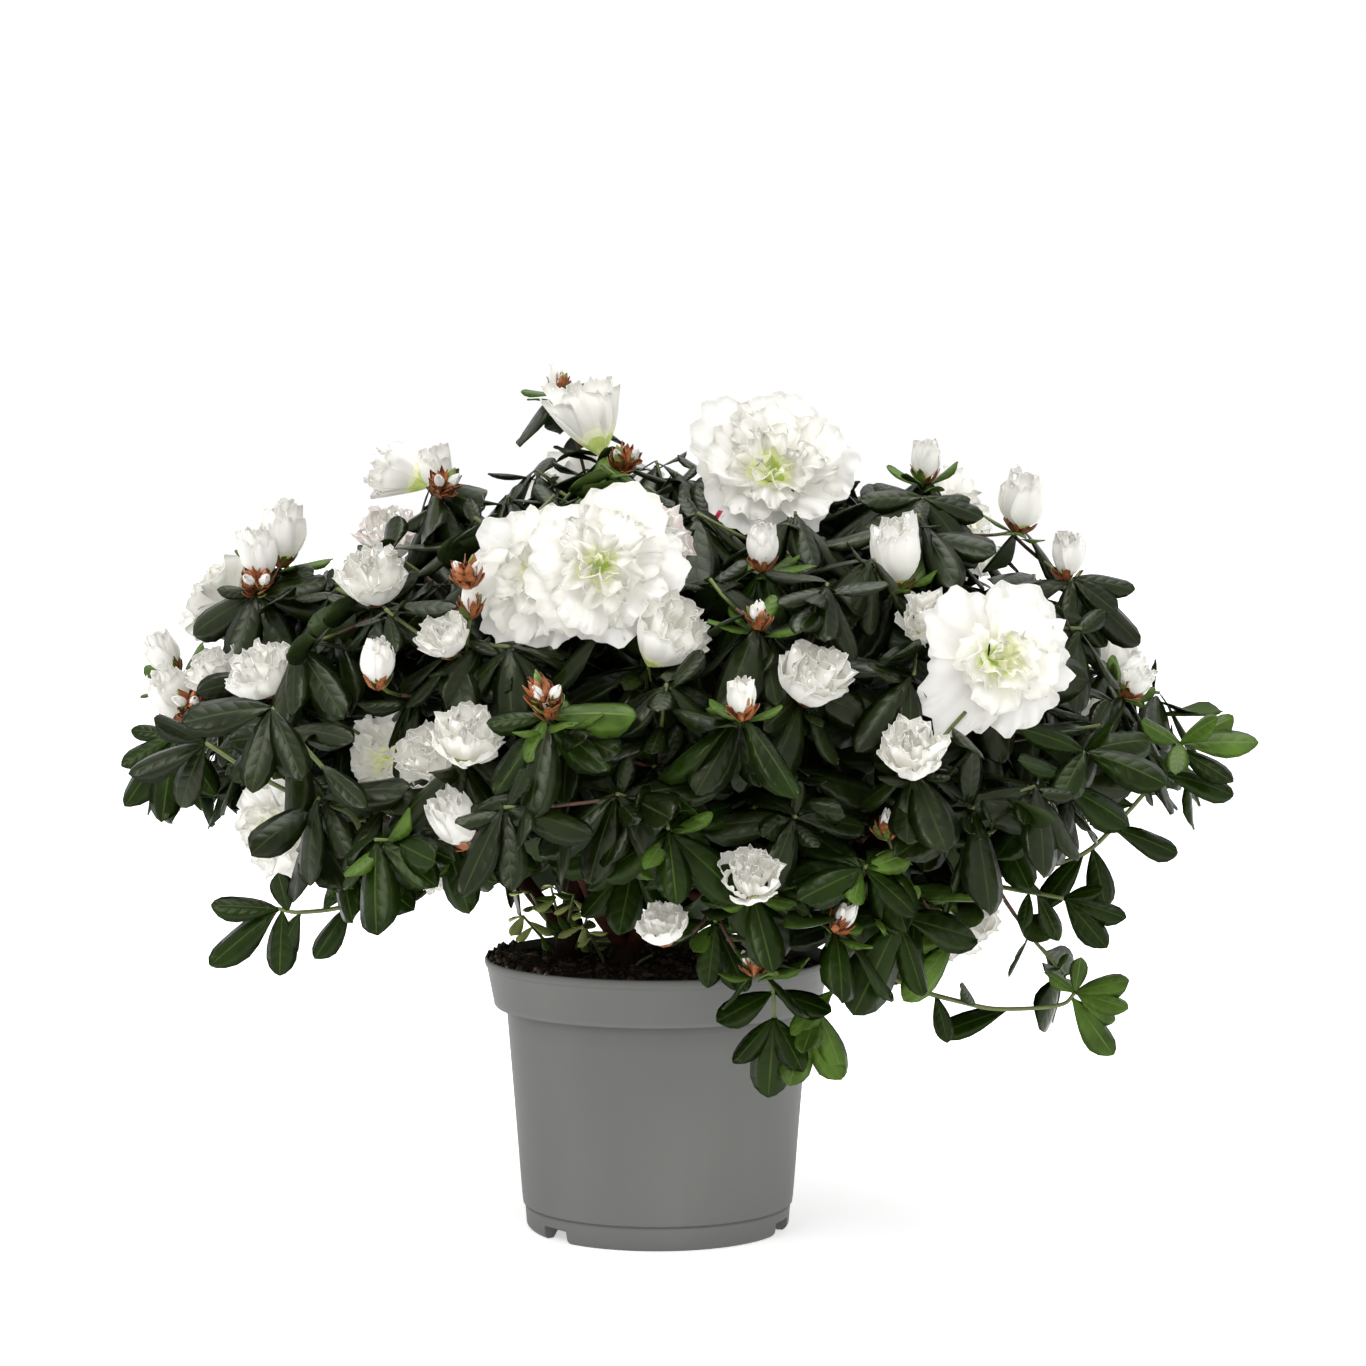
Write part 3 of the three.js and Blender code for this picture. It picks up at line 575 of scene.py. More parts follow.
def barkRelief(spot, angles, radius):
    ridges = [
        noise.noise(Vector((math.cos(a) * 2.2, math.sin(a) * 2.2, spot[2] * 0.11))) * 1.1
        + noise.noise(Vector((math.cos(a) * 5 + spot[0] * 0.3, math.sin(a) * 5, spot[2] * 0.5))) * 0.5
        for a in angles
    ]
    return np.array(ridges) * radius * barkLook["ridges"]


def drift(spot):
    return [noise.noise(Vector(spot) * 0.035 + Vector((0, 0, 17 * k))) for k in range(3)]


def makeLimbs():
    shine = {"Specular_IOR_Level": barkLook["shine"]}
    old = fullFinish("oldBark", barkLook["old"], 0.85, (0.45, 240, 5, 0.4), (700, 0.5, 6, 0.9), **shine)
    young = fullFinish("redBark", barkLook["young"], 0.75, (0.4, 200, 4, 0.4), (900, 0.25, 5, 0.7), **shine)
    heap = newHeap()
    for stem in (mainStem, sideStem):
        share = np.linspace(0, 1, barkLook["stemRings"])
        path = stem["low"] + (stem["top"] - stem["low"]) * share[:, None]
        path[-1] -= 0.4
        radii = stem["radius"] + stem["flare"] * (1 - share) ** 3 + (stem["head"] - stem["radius"]) * share**2
        radii[-1] *= 0.8
        addTube(heap, path, radii, barkLook["stemSides"], 0, barkRelief)
    cut = np.linspace(vec(*stump["foot"]), vec(*stump["top"]), stump["rings"])
    addTube(heap, cut, np.linspace(*stump["radii"], stump["rings"]), stump["sides"], 0, barkRelief)
    for mass in masses:
        count = barkLook["boughRings"]
        path = bend(*mass["curve"], count)
        wander = np.array([drift(spot) for spot in path]) * barkLook["wander"]
        path = path + wander * np.sin(np.linspace(0, math.pi, count))[:, None]
        addTube(heap, path, np.linspace(*mass["radii"], count), barkLook["boughSides"], 1, barkRelief)
    makePiece("barkLimbs", heap, [old, young], ["main_stem", "side_stem", *boughNodes])


makeLimbs()

# where the flowers sit: mouth centre, the way it faces (round, up) and width across

frontFlowers = [  # the back bears a few of them again, turned round
    ("funnel", (-34, -5, 366), (-90, 72), 30),
    ("bud", (-46, 18, 375), (-90, 75), 9),
    ("funnel", (-120, -12, 332), (-90, 25), 22),
    ("opening", (-96, -15, 339), (-30, 75), 15),
    ("opening", (-171, -32, 305), (-75, 78), 17),
    ("opening", (-158, -25, 316), (30, 80), 20),
    ("half", (-117, -95, 295), (-10, 55), 29),
    ("half", (-119, 30, 308), (-20, 60), 28),
    ("bud", (-76, -133, 287), (-30, 70), 9),
    ("open", (-51, -138, 291), (-26, 8), 56),
    ("open", (-20, -156, 297), (8, 10), 60),
    ("half", (7, -130, 306), (45, 20), 32),
    ("half", (-87, -140, 271), (-40, 50), 20),
    ("opening", (-111, -137, 265), (0, 80), 14),
    ("half", (-167, -95, 256), (-50, 55), 27),
    ("half", (-192, -45, 252), (-60, 50), 24),
    ("opening", (-217, -5, 258), (-70, 60), 14),
    ("opening", (-212, -30, 244), (-60, 60), 18),
    ("open", (-196, 25, 277), (-120, 30), 45),
    ("funnel", (11, -150, 276), (40, 45), 28),
    ("open", (50, -62, 335), (5, 18), 64),
    ("opening", (43, -112, 309), (0, 75), 13),
    ("bud", (41, -150, 282), (0, 70), 8),
    ("opening", (115, -20, 342), (15, 75), 13),
    ("opening", (97, -100, 311), (-20, 78), 21),
    ("open", (139, 24, 308), (60, 25), 54),
    ("opening", (157, -20, 328), (20, 75), 19),
    ("opening", (175, -30, 303), (10, 75), 15),
    ("wide", (141, -147, 259), (12, 6), 66),
    ("half", (111, -125, 276), (10, 30), 24),
    ("half", (66, -160, 259), (30, 50), 30),
    ("opening", (34, -181, 252), (0, 75), 11),
    ("opening", (206, -56, 247), (70, 50), 11),
    ("half", (101, -172, 230), (-5, 45), 27),
    ("half", (38, -190, 181), (0, 40), 24),
    ("half", (2, -165, 160), (-20, 60), 20),
    ("bud", (79, -170, 163), (60, 50), 9),
    ("open", (136, -76, 142), (115, -25), 36),
    ("half", (-72, -172, 236), (15, 50), 28),
    ("half", (-95, -146, 222), (-30, 30), 26),
    ("open", (-116, -96, 211), (-40, -5), 42),
    ("open", (-163, -100, 183), (-50, -8), 42),
    ("opening", (-83, -176, 206), (-40, 55), 18),
    ("half", (-92, -140, 174), (-40, 0), 20),
    ("bud", (-43, -182, 250), (-30, 70), 9),
    ("bud", (92, -150, 199), (0, 80), 8),
    ("bud", (40, -150, 144), (0, 75), 8),
    ("opening", (186, -46, 233), (40, 60), 10),
]
longShoots = [
    (228, 0, 208), (214, -52, 186), (176, -12, 112), (150, -100, 140), (-152, -92, 146), (-122, -118, 150),
    (56, -124, 132), (84, -112, 128), (24, -140, 152), (-216, -8, 205), (-84, -150, 188), (192, -82, 212),
]
# how high each kind's mouth is over its foot, in half widths
mouthHeights = {"open": 1.0, "wide": 1.0, "half": 1.5, "funnel": 2.2, "opening": 2.6, "bud": 2.8}


def turnedBehind(flower):
    kind, at, faces, width = flower
    place = (2 * crown["middle"][0] - at[0], -1.2 * at[1], at[2] - 0.5 * max(0, at[2] - 290))
    return kind, place, (faces[0] + 180, faces[1]), width


def allFlowers():
    flowers = []
    back = [turnedBehind(one) for i, one in enumerate(frontFlowers) if i % 5 < 2 and one[1][1] < -28]
    for kind, at, faces, width in frontFlowers + back:
        way = aim(*faces)
        length = mouthHeights[kind] * width / 2
        base = vec(*at) - way * length
        flowers.append({"kind": kind, "way": way, "length": length, "width": width, "base": base})
    return flowers


flowers = allFlowers()

# tips of the twigs: the solids' own tips first, then inner shells of finer ones between them

tipRule = {
    "spiral": 116, "spacing": 40, "clusterSpacing": 34, "shootSpacing": 45, "scatter": 14,
    "fineShells": [(0.97, 210, 23), (0.84, 170, 25), (0.68, 110, 27), (0.5, 50, 30)],  # share, count, spacing
}


def outward(at):
    return unit(unit(at - crown["middle"]) + upright * 0.6)


def hemAt(at):
    if at[1] < 0 and hemLift["from"] < at[0] < hemLift["to"]:
        return hemLift["height"]
    return float(np.interp(at[0], hemAcross, hemHeights))


def clearOfPot(spot):
    return spot[2] > 121 or math.hypot(spot[0], spot[1]) > pot["rimRadius"] + 3


def spiral(count, share, roll):
    for i in range(count):
        rise = 1 - ((i + 0.5) / count) ** 1.25 * 1.62
        level = math.sqrt(1 - rise * rise)
        turn = math.radians(i * goldenTurn)
        yield onCrown(vec(math.sin(turn) * level, -math.cos(turn) * level, rise), share * (0.9 + 0.1 * roll()))


def layTips():
    tips = []
    for flower in sorted(flowers, key=lambda one: -one["width"]):
        leafy = [np.linalg.norm(t["at"] - flower["base"]) for t in tips if not t["leafless"]]
        near = min(leafy, default=math.inf) < tipRule["clusterSpacing"]  # flowers of a cluster share their leaves
        tip = {"at": flower["base"].copy(), "way": flower["way"], "flower": flower}
        tips.append({**tip, "leafless": near, "sort": "flower"})
    for shoot in longShoots:
        tips.append({"at": vec(*shoot), "way": outward(vec(*shoot)), "leafless": False, "sort": "shoot"})
    taken = [t["at"] + (t["flower"]["way"] * t["flower"]["length"] * 0.5 if "flower" in t else 0) for t in tips]
    roll = makeDice(seeds["tips"])
    for at in spiral(tipRule["spiral"], 1.0, roll):
        if all(np.linalg.norm(at - other) > tipRule["spacing"] for other in taken) and at[2] > hemAt(at):
            tips.append({"at": at, "way": outward(at), "leafless": False, "sort": "main"})
    places = [t["at"] for t in tips]
    for shell, (share, count, spacing) in enumerate(tipRule["fineShells"]):
        roll = makeDice(seeds["fineTips"] + shell)
        for at in spiral(count, share * 1.02, roll):
            at = at + vec(roll() - 0.5, roll() - 0.5, roll() - 0.5) * tipRule["scatter"]
            if at[2] < hemAt(at) + 14 or not clearOfPot(at):
                continue
            if min(np.linalg.norm(np.array(places) - at, axis=1)) > spacing:
                places.append(at)
                tips.append({"at": at, "way": outward(at), "leafless": False, "sort": "fine", "depth": shell})
    for tip in tips:
        tip["mass"] = int(np.argmin(np.linalg.norm(hearts - tip["at"], axis=1)))
    return tips


# long leafy shoots that arch out past the rest: points along each stem, then its leaves as share of the
# stem, the way the leaf points (round, up) and its length
archingShoots = {
    "rightHigh": {
        "kind": "green",
        "line": [(111, -110, 181), (139, -120, 187), (159, -118, 199), (174, -112, 218)],
        "leaves": [
            (0.35, 40, -50, 28), (0.55, -40, -30, 30), (0.8, 95, -25, 34), (0.85, -50, 20, 28), (1, 60, -10, 36),
            (1, 110, 15, 33), (1, -30, -35, 30), (1, -70, 25, 30), (1, 20, 35, 24),
        ],
    },
    "right": {
        "kind": "green",
        "line": [(140, -60, 160), (175, -60, 168), (194, -55, 183), (212, -50, 203), (220, -48, 215)],
        "leaves": [
            (0.3, -60, -40, 30), (0.34, 20, -55, 26), (0.46, 90, -14, 31), (0.6, -80, 12, 27), (0.75, 86, -8, 33),
            (0.84, -75, 15, 26), (0.95, 60, -22, 28),
        ],
        "freshLeaves": [(1, 80, 6, 33), (1, 105, 26, 27), (1, 40, 38, 22), (1, -60, 30, 22), (1, -10, -14, 24)],
    },
    "rightLow": {
        "kind": "green",
        "line": [
            (92, -95, 130), (104, -100, 120), (126, -98, 113), (142, -90, 109), (167, -80, 109), (174, -78, 114),
        ],
        "leaves": [(0.3, 30, -60, 20), (0.62, -88, -14, 32), (0.45, -30, 40, 16)],
        "freshLeaves": [
            (1, 20, 72, 16), (1, 75, 22, 23), (1, 60, -8, 24), (1, 100, -26, 23), (0.94, 85, -52, 30),
            (1, -60, 40, 15),
        ],
    },
    "rightMiddle": {
        "kind": "green",
        "line": [(131, -70, 158), (154, -85, 157), (168, -90, 155)],
        "leaves": [
            (1, 86, -14, 27), (1, 60, -42, 27), (0.6, 95, -60, 23), (0.5, -30, -65, 25), (1, 50, 25, 18),
            (0.7, -60, 35, 20),
        ],
    },
    "leftFront": {
        "kind": "deep",
        "line": [(-91, -120, 187), (-102, -140, 194), (-123, -150, 207), (-141, -152, 226), (-152, -150, 239)],
        "leaves": [
            (0.35, -40, -42, 30), (0.62, 60, -36, 27), (0.8, -80, -30, 31), (1, -70, 0, 36), (1, 30, -40, 35),
            (1, -20, -55, 36),
        ],
    },
    "leftMiddle": {
        "kind": "deep",
        "line": [(-124, -110, 192), (-144, -118, 200), (-166, -120, 212), (-182, -118, 222)],
        "leaves": [
            (0.3, -60, -60, 28), (0.6, -100, -40, 31), (1, -90, -20, 34), (1, -60, 30, 24), (1, -95, -62, 30),
        ],
    },
    "leftLow": {
        "kind": "green",
        "line": [(-76, -100, 182), (-104, -112, 166), (-124, -118, 156), (-144, -118, 153), (-153, -115, 154)],
        "leaves": [
            (1, -90, 6, 28), (1, -86, -36, 37), (0.95, -20, -80, 27), (0.76, -90, -60, 25), (0.98, -70, 74, 25),
            (0.86, -10, 50, 19), (0.62, 60, 60, 19), (0.5, -60, -50, 26),
        ],
    },
    "middleCluster": {
        "kind": "green",
        "line": [(-40, -150, 224), (-41, -168, 232), (-42, -179, 238)],
        "leaves": [(1, -84, 2, 30), (1, 62, -34, 34), (0.8, -62, -46, 36), (0.9, 90, -20, 32)],
        "freshLeaves": [(1, 48, 50, 27), (1, 78, 10, 35), (1, -30, 58, 17), (1, -50, -60, 20), (1, 35, -66, 17)],
    },
    "overStems": {
        "kind": "green",
        "line": [(-14, -90, 182), (-11, -99, 177), (-9, -104, 172)],
        "leaves": [(1, 62, -40, 36), (1, -70, -40, 31), (1, -20, -56, 31), (1, 100, -10, 26)],
    },
    "overRim": {
        "kind": "fresh",
        "line": [(79, -120, 153), (76, -128, 132), (67, -124, 115), (61, -120, 108)],
        "leaves": [
            (1, -30, -58, 27), (1, 60, -50, 27), (0.7, 80, -66, 29), (0.5, -70, -42, 25), (1, -90, -34, 22),
            (0.7, -20, -30, 24),
        ],
    },
    "overRimLeft": {
        "kind": "green",
        "line": [(42, -120, 141), (47, -126, 124), (48, -124, 111)],
        "leaves": [
            (1, -20, -76, 33), (1, -80, -46, 25), (1, 50, -52, 25), (0.6, -70, -20, 26), (0.6, 70, -10, 25),
        ],
    },
    "leftCluster": {
        "kind": "deep",
        "line": [(-158, -20, 258), (-165, -28, 270), (-169, -34, 278)],
        "leaves": [
            (1, -98, -26, 35), (1, 84, -6, 36), (0.95, 72, 20, 30), (1, -30, -58, 33), (1, 42, -50, 33),
            (0.9, -80, 14, 18), (0.8, 95, 34, 26), (0.7, -70, -50, 30),
        ],
    },
    "leftEdge": {
        "kind": "green",
        "line": [(-178, -50, 210), (-191, -58, 217), (-201, -62, 220)],
        "leaves": [
            (1, -85, -52, 37), (1, -20, -66, 37), (1, 60, -48, 31), (1, -100, 10, 20), (0.7, -60, -30, 28),
            (1, -60, -20, 26),
        ],
    },
    "topLeft": {
        "kind": "deep",
        "line": [(-97, -14, 284), (-93, -20, 300), (-91, -26, 316)],
        "leaves": [
            (1, -52, -56, 31), (1, 24, -52, 29), (0.9, 82, -14, 20), (0.9, -88, -22, 18), (0.6, 90, -30, 26),
            (0.5, -85, -40, 28), (0.8, 60, 20, 16),
        ],
    },
    "rightTop": {
        "kind": "deep",
        "line": [(160, -20, 262), (170, -28, 272), (176, -32, 284)],
        "leaves": [
            (1, 85, -4, 27), (0.95, 82, -34, 40), (0.9, -86, -8, 38), (1, -20, -62, 22), (0.75, 95, -48, 30),
            (0.5, 88, -44, 31), (0.4, 60, -60, 28), (1, 60, -30, 24),
        ],
    },
    "behindStems": {
        "kind": "green",
        "line": [(-22, 44, 168), (-17, 38, 154), (-12, 33, 143)],
        "leaves": [
            (1, 62, -18, 27), (1, -60, -8, 27), (1, 0, -48, 24), (1, 104, 12, 24), (0.7, -100, -20, 26),
            (0.6, 90, -30, 26), (0.8, 30, 10, 22),
        ],
    },
    "behindStemsRight": {
        "kind": "green",
        "line": [(34, 34, 172), (24, 28, 158), (15, 25, 147)],
        "leaves": [
            (1, 50, -20, 28), (1, -70, -14, 28), (1, -10, -50, 25), (1, -110, 14, 24), (0.7, 100, -20, 28),
            (0.6, -60, -34, 26),
        ],
    },
    "rightRosette": {
        "kind": "deep",
        "line": [(108, -40, 290), (110, -50, 305), (111, -54, 319)],
        "leaves": [
            (1, 85, -12, 27), (1, 56, -42, 37), (1, -80, 4, 33), (1, -66, -30, 36), (1, 8, -62, 32),
            (0.9, -95, 24, 22), (0.9, 100, 12, 22),
        ],
    },
}
# small pale sprouts from the stump and the foot of the stems
sprouts = [
    [(-41, 3, 120), (-48, -2, 134), (-55, -8, 147)],
    [(-40, 3, 122), (-43, -4, 136), (-46, -10, 150)],
    [(-39, 2, 124), (-38, -6, 136), (-36, -12, 147)],
    [(-37, 2, 118), (-33, -8, 128), (-30, -14, 138)],
    [(-42, 4, 116), (-50, 0, 126), (-58, -5, 136)],
    [(-22, -9, 114), (-26, -15, 124), (-31, -19, 133)],
    [(-11, -17, 114), (-7, -22, 119), (-2, -24, 122)],
]


def smoothLine(points, each):  # a curve through the points
    ends = [2 * points[0] - points[1], *points, 2 * points[-1] - points[-2]]
    line = []
    for a, b, c, d in zip(ends, ends[1:], ends[2:], ends[3:]):
        for t in np.arange(each) / each:
            square, cube = 2 * a - 5 * b + 4 * c - d, 3 * b - a - 3 * c + d
            line.append(0.5 * (2 * b + (c - a) * t + square * t**2 + cube * t**3))
    return np.array(line + [points[-1]])


def awayFromShoots(tip):
    ends = np.array([vec(*shoot["line"][-1]) for shoot in archingShoots.values()])
    return np.min(np.linalg.norm(ends - tip["at"], axis=1)) > tipRule["shootSpacing"]


tips = [tip for tip in layTips() if tip["sort"] != "shoot" or awayFromShoots(tip)]
print("tips:", len(tips), "of which", len(flowers), "bear flowers")

# twigs, grown to the tips of each mass from the nearest node, nearest tip first

twigLook = {
    "root": 1.7, "fine": 0.8, "stemLength": 26, "shoot": 1.3, "sprout": (0.9, 0.6),
    "brown": (0.06, 0.024, 0.014), "green": (0.075, 0.098, 0.018), "greenReach": 0.5,
}


def growTwigs(heap, index, mass):
    a, b, end = mass["curve"]
    heading = unit(end - b)
    start = end - heading * 1.5
    lift = unit(heading + unit(mass["heart"] - start))
    stemEnd = start + lift * twigLook["stemLength"]
    stem = (start, start + heading * twigLook["stemLength"] * 0.4, stemEnd)
    addTube(heap, bend(*stem, 8), np.linspace(mass["radii"][1], twigLook["root"], 8), 8, 0)
    nodes = [(bendAt(*stem, t), lift, twigLook["root"]) for t in (0.5, 0.8, 1.0)]
    own = sorted((t for t in tips if t["mass"] == index), key=lambda t: np.linalg.norm(t["at"] - stemEnd))
    for tip in own:
        foot = tip["at"]

        def cost(node):
            path = foot - node[0]
            return np.linalg.norm(path) * (1.25 - 0.5 * (unit(path) @ node[1]))

        at, way, thick = min(nodes, key=cost)
        reach = np.linalg.norm(foot - at)
        middle = (at + foot) / 2 + way * reach * 0.14 - tip["way"] * reach * 0.16
        root = max(min(thick * 0.85, twigLook["root"]), twigLook["fine"])
        end = max(root * 0.75, twigLook["fine"])
        count = max(5, int(reach / 6))
        path = bend(at, middle, foot, count)
        radii = np.linspace(root, end, count)
        split = max(2, int(count * (1 - twigLook["greenReach"])))
        if tip["sort"] == "fine" and reach < 45:
            split = 2
        addTube(heap, path[: split + 1], radii[: split + 1], 6, 0 if reach > 30 else 1)
        addTube(heap, path[split:], radii[split:], 6, 1)
        for t in (0.35, 0.6, 0.8):
            spot = bendAt(at, middle, foot, t)
            nodes.append((spot, unit(bendAt(at, middle, foot, t + 0.05) - spot), root * 0.9))
        tip["along"] = (at, middle, foot)
        tip["reach"] = reach
    return [node[0] for node in nodes]


def growShoot(heap, shoot, seats):  # from the nearest twig
    points = [vec(*point) for point in shoot["line"]]
    seat = seats[np.argmin(np.linalg.norm(seats - points[0], axis=1))]
    steps = 6
    path = smoothLine([seat, *points], steps)
    addTube(heap, path, np.linspace(twigLook["shoot"], twigLook["fine"], len(path)), 7, 1)
    shoot["path"] = path[steps:]  # without the stretch from the twig


def makeTwigs():
    brown = fullFinish("brownTwig", twigLook["brown"], 0.65, (0.35, 180), (900, 0.2))
    green = fullFinish("greenTwig", twigLook["green"], 0.5, (0.25, 150), (900, 0.1))
    heap = newHeap()
    seats = [seat for index, mass in enumerate(masses) for seat in growTwigs(heap, index, mass)]
    for shoot in archingShoots.values():
        growShoot(heap, shoot, np.array(seats))
    for line in sprouts:
        path = smoothLine([vec(*point) for point in line], 4)
        addTube(heap, path, np.linspace(*twigLook["sprout"], len(path)), 6, 1)
    makePiece("twigs", heap, [brown, green], massNodes)


makeTwigs()

# leaves: a thin closed blade with a pale rib, folded along it and rolled at the edges

leafLook = {
    "length": (31, 44), "breadth": 0.46, "perTip": (6, 8), "alongTwig": 3, "hang": 0.42,
    "steepest": (-0.08, 0.3), "innerSize": (0.4, 0.62), "shootSize": 0.74,
    "deep": {
        "blade": (0.0056, 0.0096, 0.001), "rib": (0.016, 0.026, 0.005), "under": (0.016, 0.029, 0.005),
        "shine": 0.22, "tint": (0.95, 1, 0.82, 1), "roughness": 0.31,
    },
    "green": {
        "blade": (0.0058, 0.0138, 0.0008), "rib": (0.024, 0.045, 0.006), "under": (0.024, 0.046, 0.006),
        "shine": 0.17, "tint": (0.85, 1, 0.6, 1), "roughness": 0.31,
    },
    "fresh": {
        "blade": (0.042, 0.082, 0.010), "rib": (0.075, 0.125, 0.024), "under": (0.06, 0.105, 0.018),
        "shine": 0.2, "tint": (0.9, 1, 0.6, 1), "roughness": 0.38,
    },
    "pale": {
        "blade": (0.34, 0.4, 0.13), "rib": (0.4, 0.45, 0.2), "under": (0.36, 0.42, 0.16),
        "shine": 0.2, "tint": (1, 1, 0.8, 1), "roughness": 0.45,
    },
}
leafKinds = ("deep", "green", "fresh", "pale")
veins = {"pairs": 6, "slant": 0.3, "depth": 0.22}
leafRows = np.array([0, 0.05, 0.14, 0.27, 0.42, 0.58, 0.74, 0.87, 0.96, 1])
leafColumns = np.array([-1, -0.55, -0.05, 0.05, 0.55, 1])
leafPlaces = np.array([((u + 1) / 2, v) for v in leafRows for u in leafColumns] + [(0.5, v) for v in leafRows])
leafProbes = [15, 27, 30, 35, 39, 51, 57]  # points of a leaf that must lie clear


def leafFaceSets():
    rows, columns = len(leafRows), len(leafColumns)
    grid = np.arange(rows * columns).reshape(rows, columns)
    under = rows * columns + np.arange(rows)
    top, rib, below = [], [], []
    for i in range(rows - 1):
        for j in range(columns - 1):
            quad = (grid[i, j], grid[i + 1, j], grid[i + 1, j + 1], grid[i, j + 1])
            (rib if j == 2 else top).append(quad)
        below.append((grid[i, 0], under[i], under[i + 1], grid[i + 1, 0]))
        below.append((under[i], grid[i, -1], grid[i + 1, -1], under[i + 1]))
    ends = [(*grid[0], under[0]), (*grid[-1][::-1], under[-1])]
    return [np.array(top), np.array(rib), np.array(below), np.array(ends)]


leafFaces = leafFaceSets()


def leafShape(length, breadth, fold, curl, droop, wave, phase):  # along, across and up
    v, u = np.meshgrid(leafRows, leafColumns, indexing="ij")
    half = leafRows**0.92 * (1 - leafRows**2) ** 0.68 / 0.455 * length * breadth / 2
    half = np.maximum(half, np.where(leafRows < 0.1, 0.75, 0.35))[:, None]
    across = u * half
    sag = -droop * length * v**1.8
    rise = fold * np.abs(across) - curl * across**2 / (length * breadth)
    flutter = wave * length * np.sin(2 * math.pi * (1.4 * v + phase) + u) * u**2 * v
    groove = np.where(np.abs(u) < 0.1, -0.12, 0)
    up = sag + rise + flutter + groove
    along = v * length * (1 - 0.5 * (droop * v) ** 2)
    top = np.stack([along, across, up], 2).reshape(-1, 3)
    below = np.stack([along[:, 2], np.zeros(len(leafRows)), sag[:, 2] - 0.55 * np.clip(half[:, 0], 0.3, 1)], 1)
    return np.concatenate([top, below])


def addVeins(finish):  # side veins pressed into the blade, and a fine grain
    tree = finish.node_tree

    def mathNode(kind, *values):
        node = tree.nodes.new("ShaderNodeMath")
        node.operation = kind
        for socket, value in zip(node.inputs, values):
            if isinstance(value, (int, float)):
                socket.default_value = value
            else:
                tree.links.new(value, socket)
        return node.outputs[0]

    place = tree.nodes.new("ShaderNodeUVMap")
    place.uv_map = "blade"
    split = tree.nodes.new("ShaderNodeSeparateXYZ")
    tree.links.new(place.outputs[0], split.inputs[0])
    off = mathNode("ABSOLUTE", mathNode("SUBTRACT", split.outputs[0], 0.5))
    along = mathNode("SUBTRACT", split.outputs[1], mathNode("MULTIPLY", off, veins["slant"]))
    ridge = mathNode("ABSOLUTE", mathNode("SINE", mathNode("MULTIPLY", along, math.pi * veins["pairs"])))
    where = tree.nodes.new("ShaderNodeTexCoord")
    grain = tree.nodes.new("ShaderNodeTexNoise")
    grain.inputs["Scale"].default_value = 900
    tree.links.new(where.outputs["Object"], grain.inputs["Vector"])
    bump = tree.nodes.new("ShaderNodeBump")
    bump.inputs["Strength"].default_value = 0.45
    bump.inputs["Distance"].default_value = veins["depth"] * mm
    tree.links.new(mathNode("ADD", ridge, mathNode("MULTIPLY", grain.outputs["Fac"], 0.6)), bump.inputs["Height"])
    tree.links.new(bump.outputs["Normal"], tree.nodes["Principled BSDF"].inputs["Normal"])
    return finish


def touchesFlower(spots, own):
    for flower in flowers:
        if flower is own:
            continue
        off = spots - flower["base"]
        along = off @ flower["way"]
        aside = np.linalg.norm(off - along[:, None] * flower["way"], axis=1)
        cup = np.minimum(1, 0.25 + 1.1 * along / flower["length"]) * flower["width"] * 0.52
        if np.any((along > -1) & (along < flower["length"] + 3) & (aside < cup)):
            return True
        before = (along > flower["length"]) & (along < flower["length"] + 0.6 * flower["width"])
        if flower["kind"] in ("open", "wide") and np.any(before & (aside < 0.46 * flower["width"])):
            return True
    return False


boughSpots = [bend(*mass["curve"], 30) for mass in masses]
stemSpots = [np.linspace(stem["low"], stem["top"], 8) for stem in (mainStem, sideStem)]
limbSpots = np.concatenate(boughSpots + stemSpots)


def leafAllowed(spots, tip):
    ends = spots[leafProbes]
    if any(not clearOfPot(spot) for spot in ends):
        return False
    if np.min(np.linalg.norm(limbSpots[None] - ends[:, None], axis=2)) < 3.4:
        return False
    if tip["sort"] != "shoot":
        middle = crown["middle"]
        over = np.clip((ends[:, 2] - middle[2]) / (crown["rise"] + leafReach + 10), 0, None)
        wide = (ends[:, 0] - middle[0]) / (crown["side"] + leafReach)
        deep = (ends[:, 1] - middle[1]) / (crown["depth"] + leafReach)
        if np.any(wide**2 + deep**2 + over**2 > 1) or any(spot[2] < hemAt(spot) - 4 for spot in ends):
            return False
    return not touchesFlower(ends, tip.get("flower"))


def addLeaf(heap, root, way, face, size, tip, roll, length=None):
    if length is None:
        short, long = leafLook["length"]
        length = size * (short + (long - short) * roll())
    breadth = leafLook["breadth"] * (0.85 + 0.3 * roll())
    side = unit(np.cross(face, way))
    face = unit(np.cross(way, side))
    fold, curl, droop = 0.1 + 0.3 * roll(), 0.9 + 0.7 * roll(), 0.04 + 0.22 * roll()
    shape = leafShape(length, breadth, fold, curl, droop, 0.012 + 0.02 * roll(), roll())
    for cut in (1, 0.8, 0.62):
        spots = root + cut * (shape[:, :1] * way + shape[:, 1:2] * side + shape[:, 2:] * face)
        if leafAllowed(spots, tip):
            pour(heap, spots, leafFaces, [0, 1, 2, 2], leafPlaces)
            return True
    return False


def settled(way, tip):  # the leaves that point out of the crown hang, the others may rise a little
    steepest = leafLook["steepest"][0 if way @ outward(tip["at"]) > 0.1 else 1]
    way = unit(vec(way[0], way[1], min(way[2], steepest)))
    if "flower" in tip:  # and they stay beside or behind the flower
        way = unit(way - max(0, way @ tip["way"] - 0.12) * tip["way"])
    return way


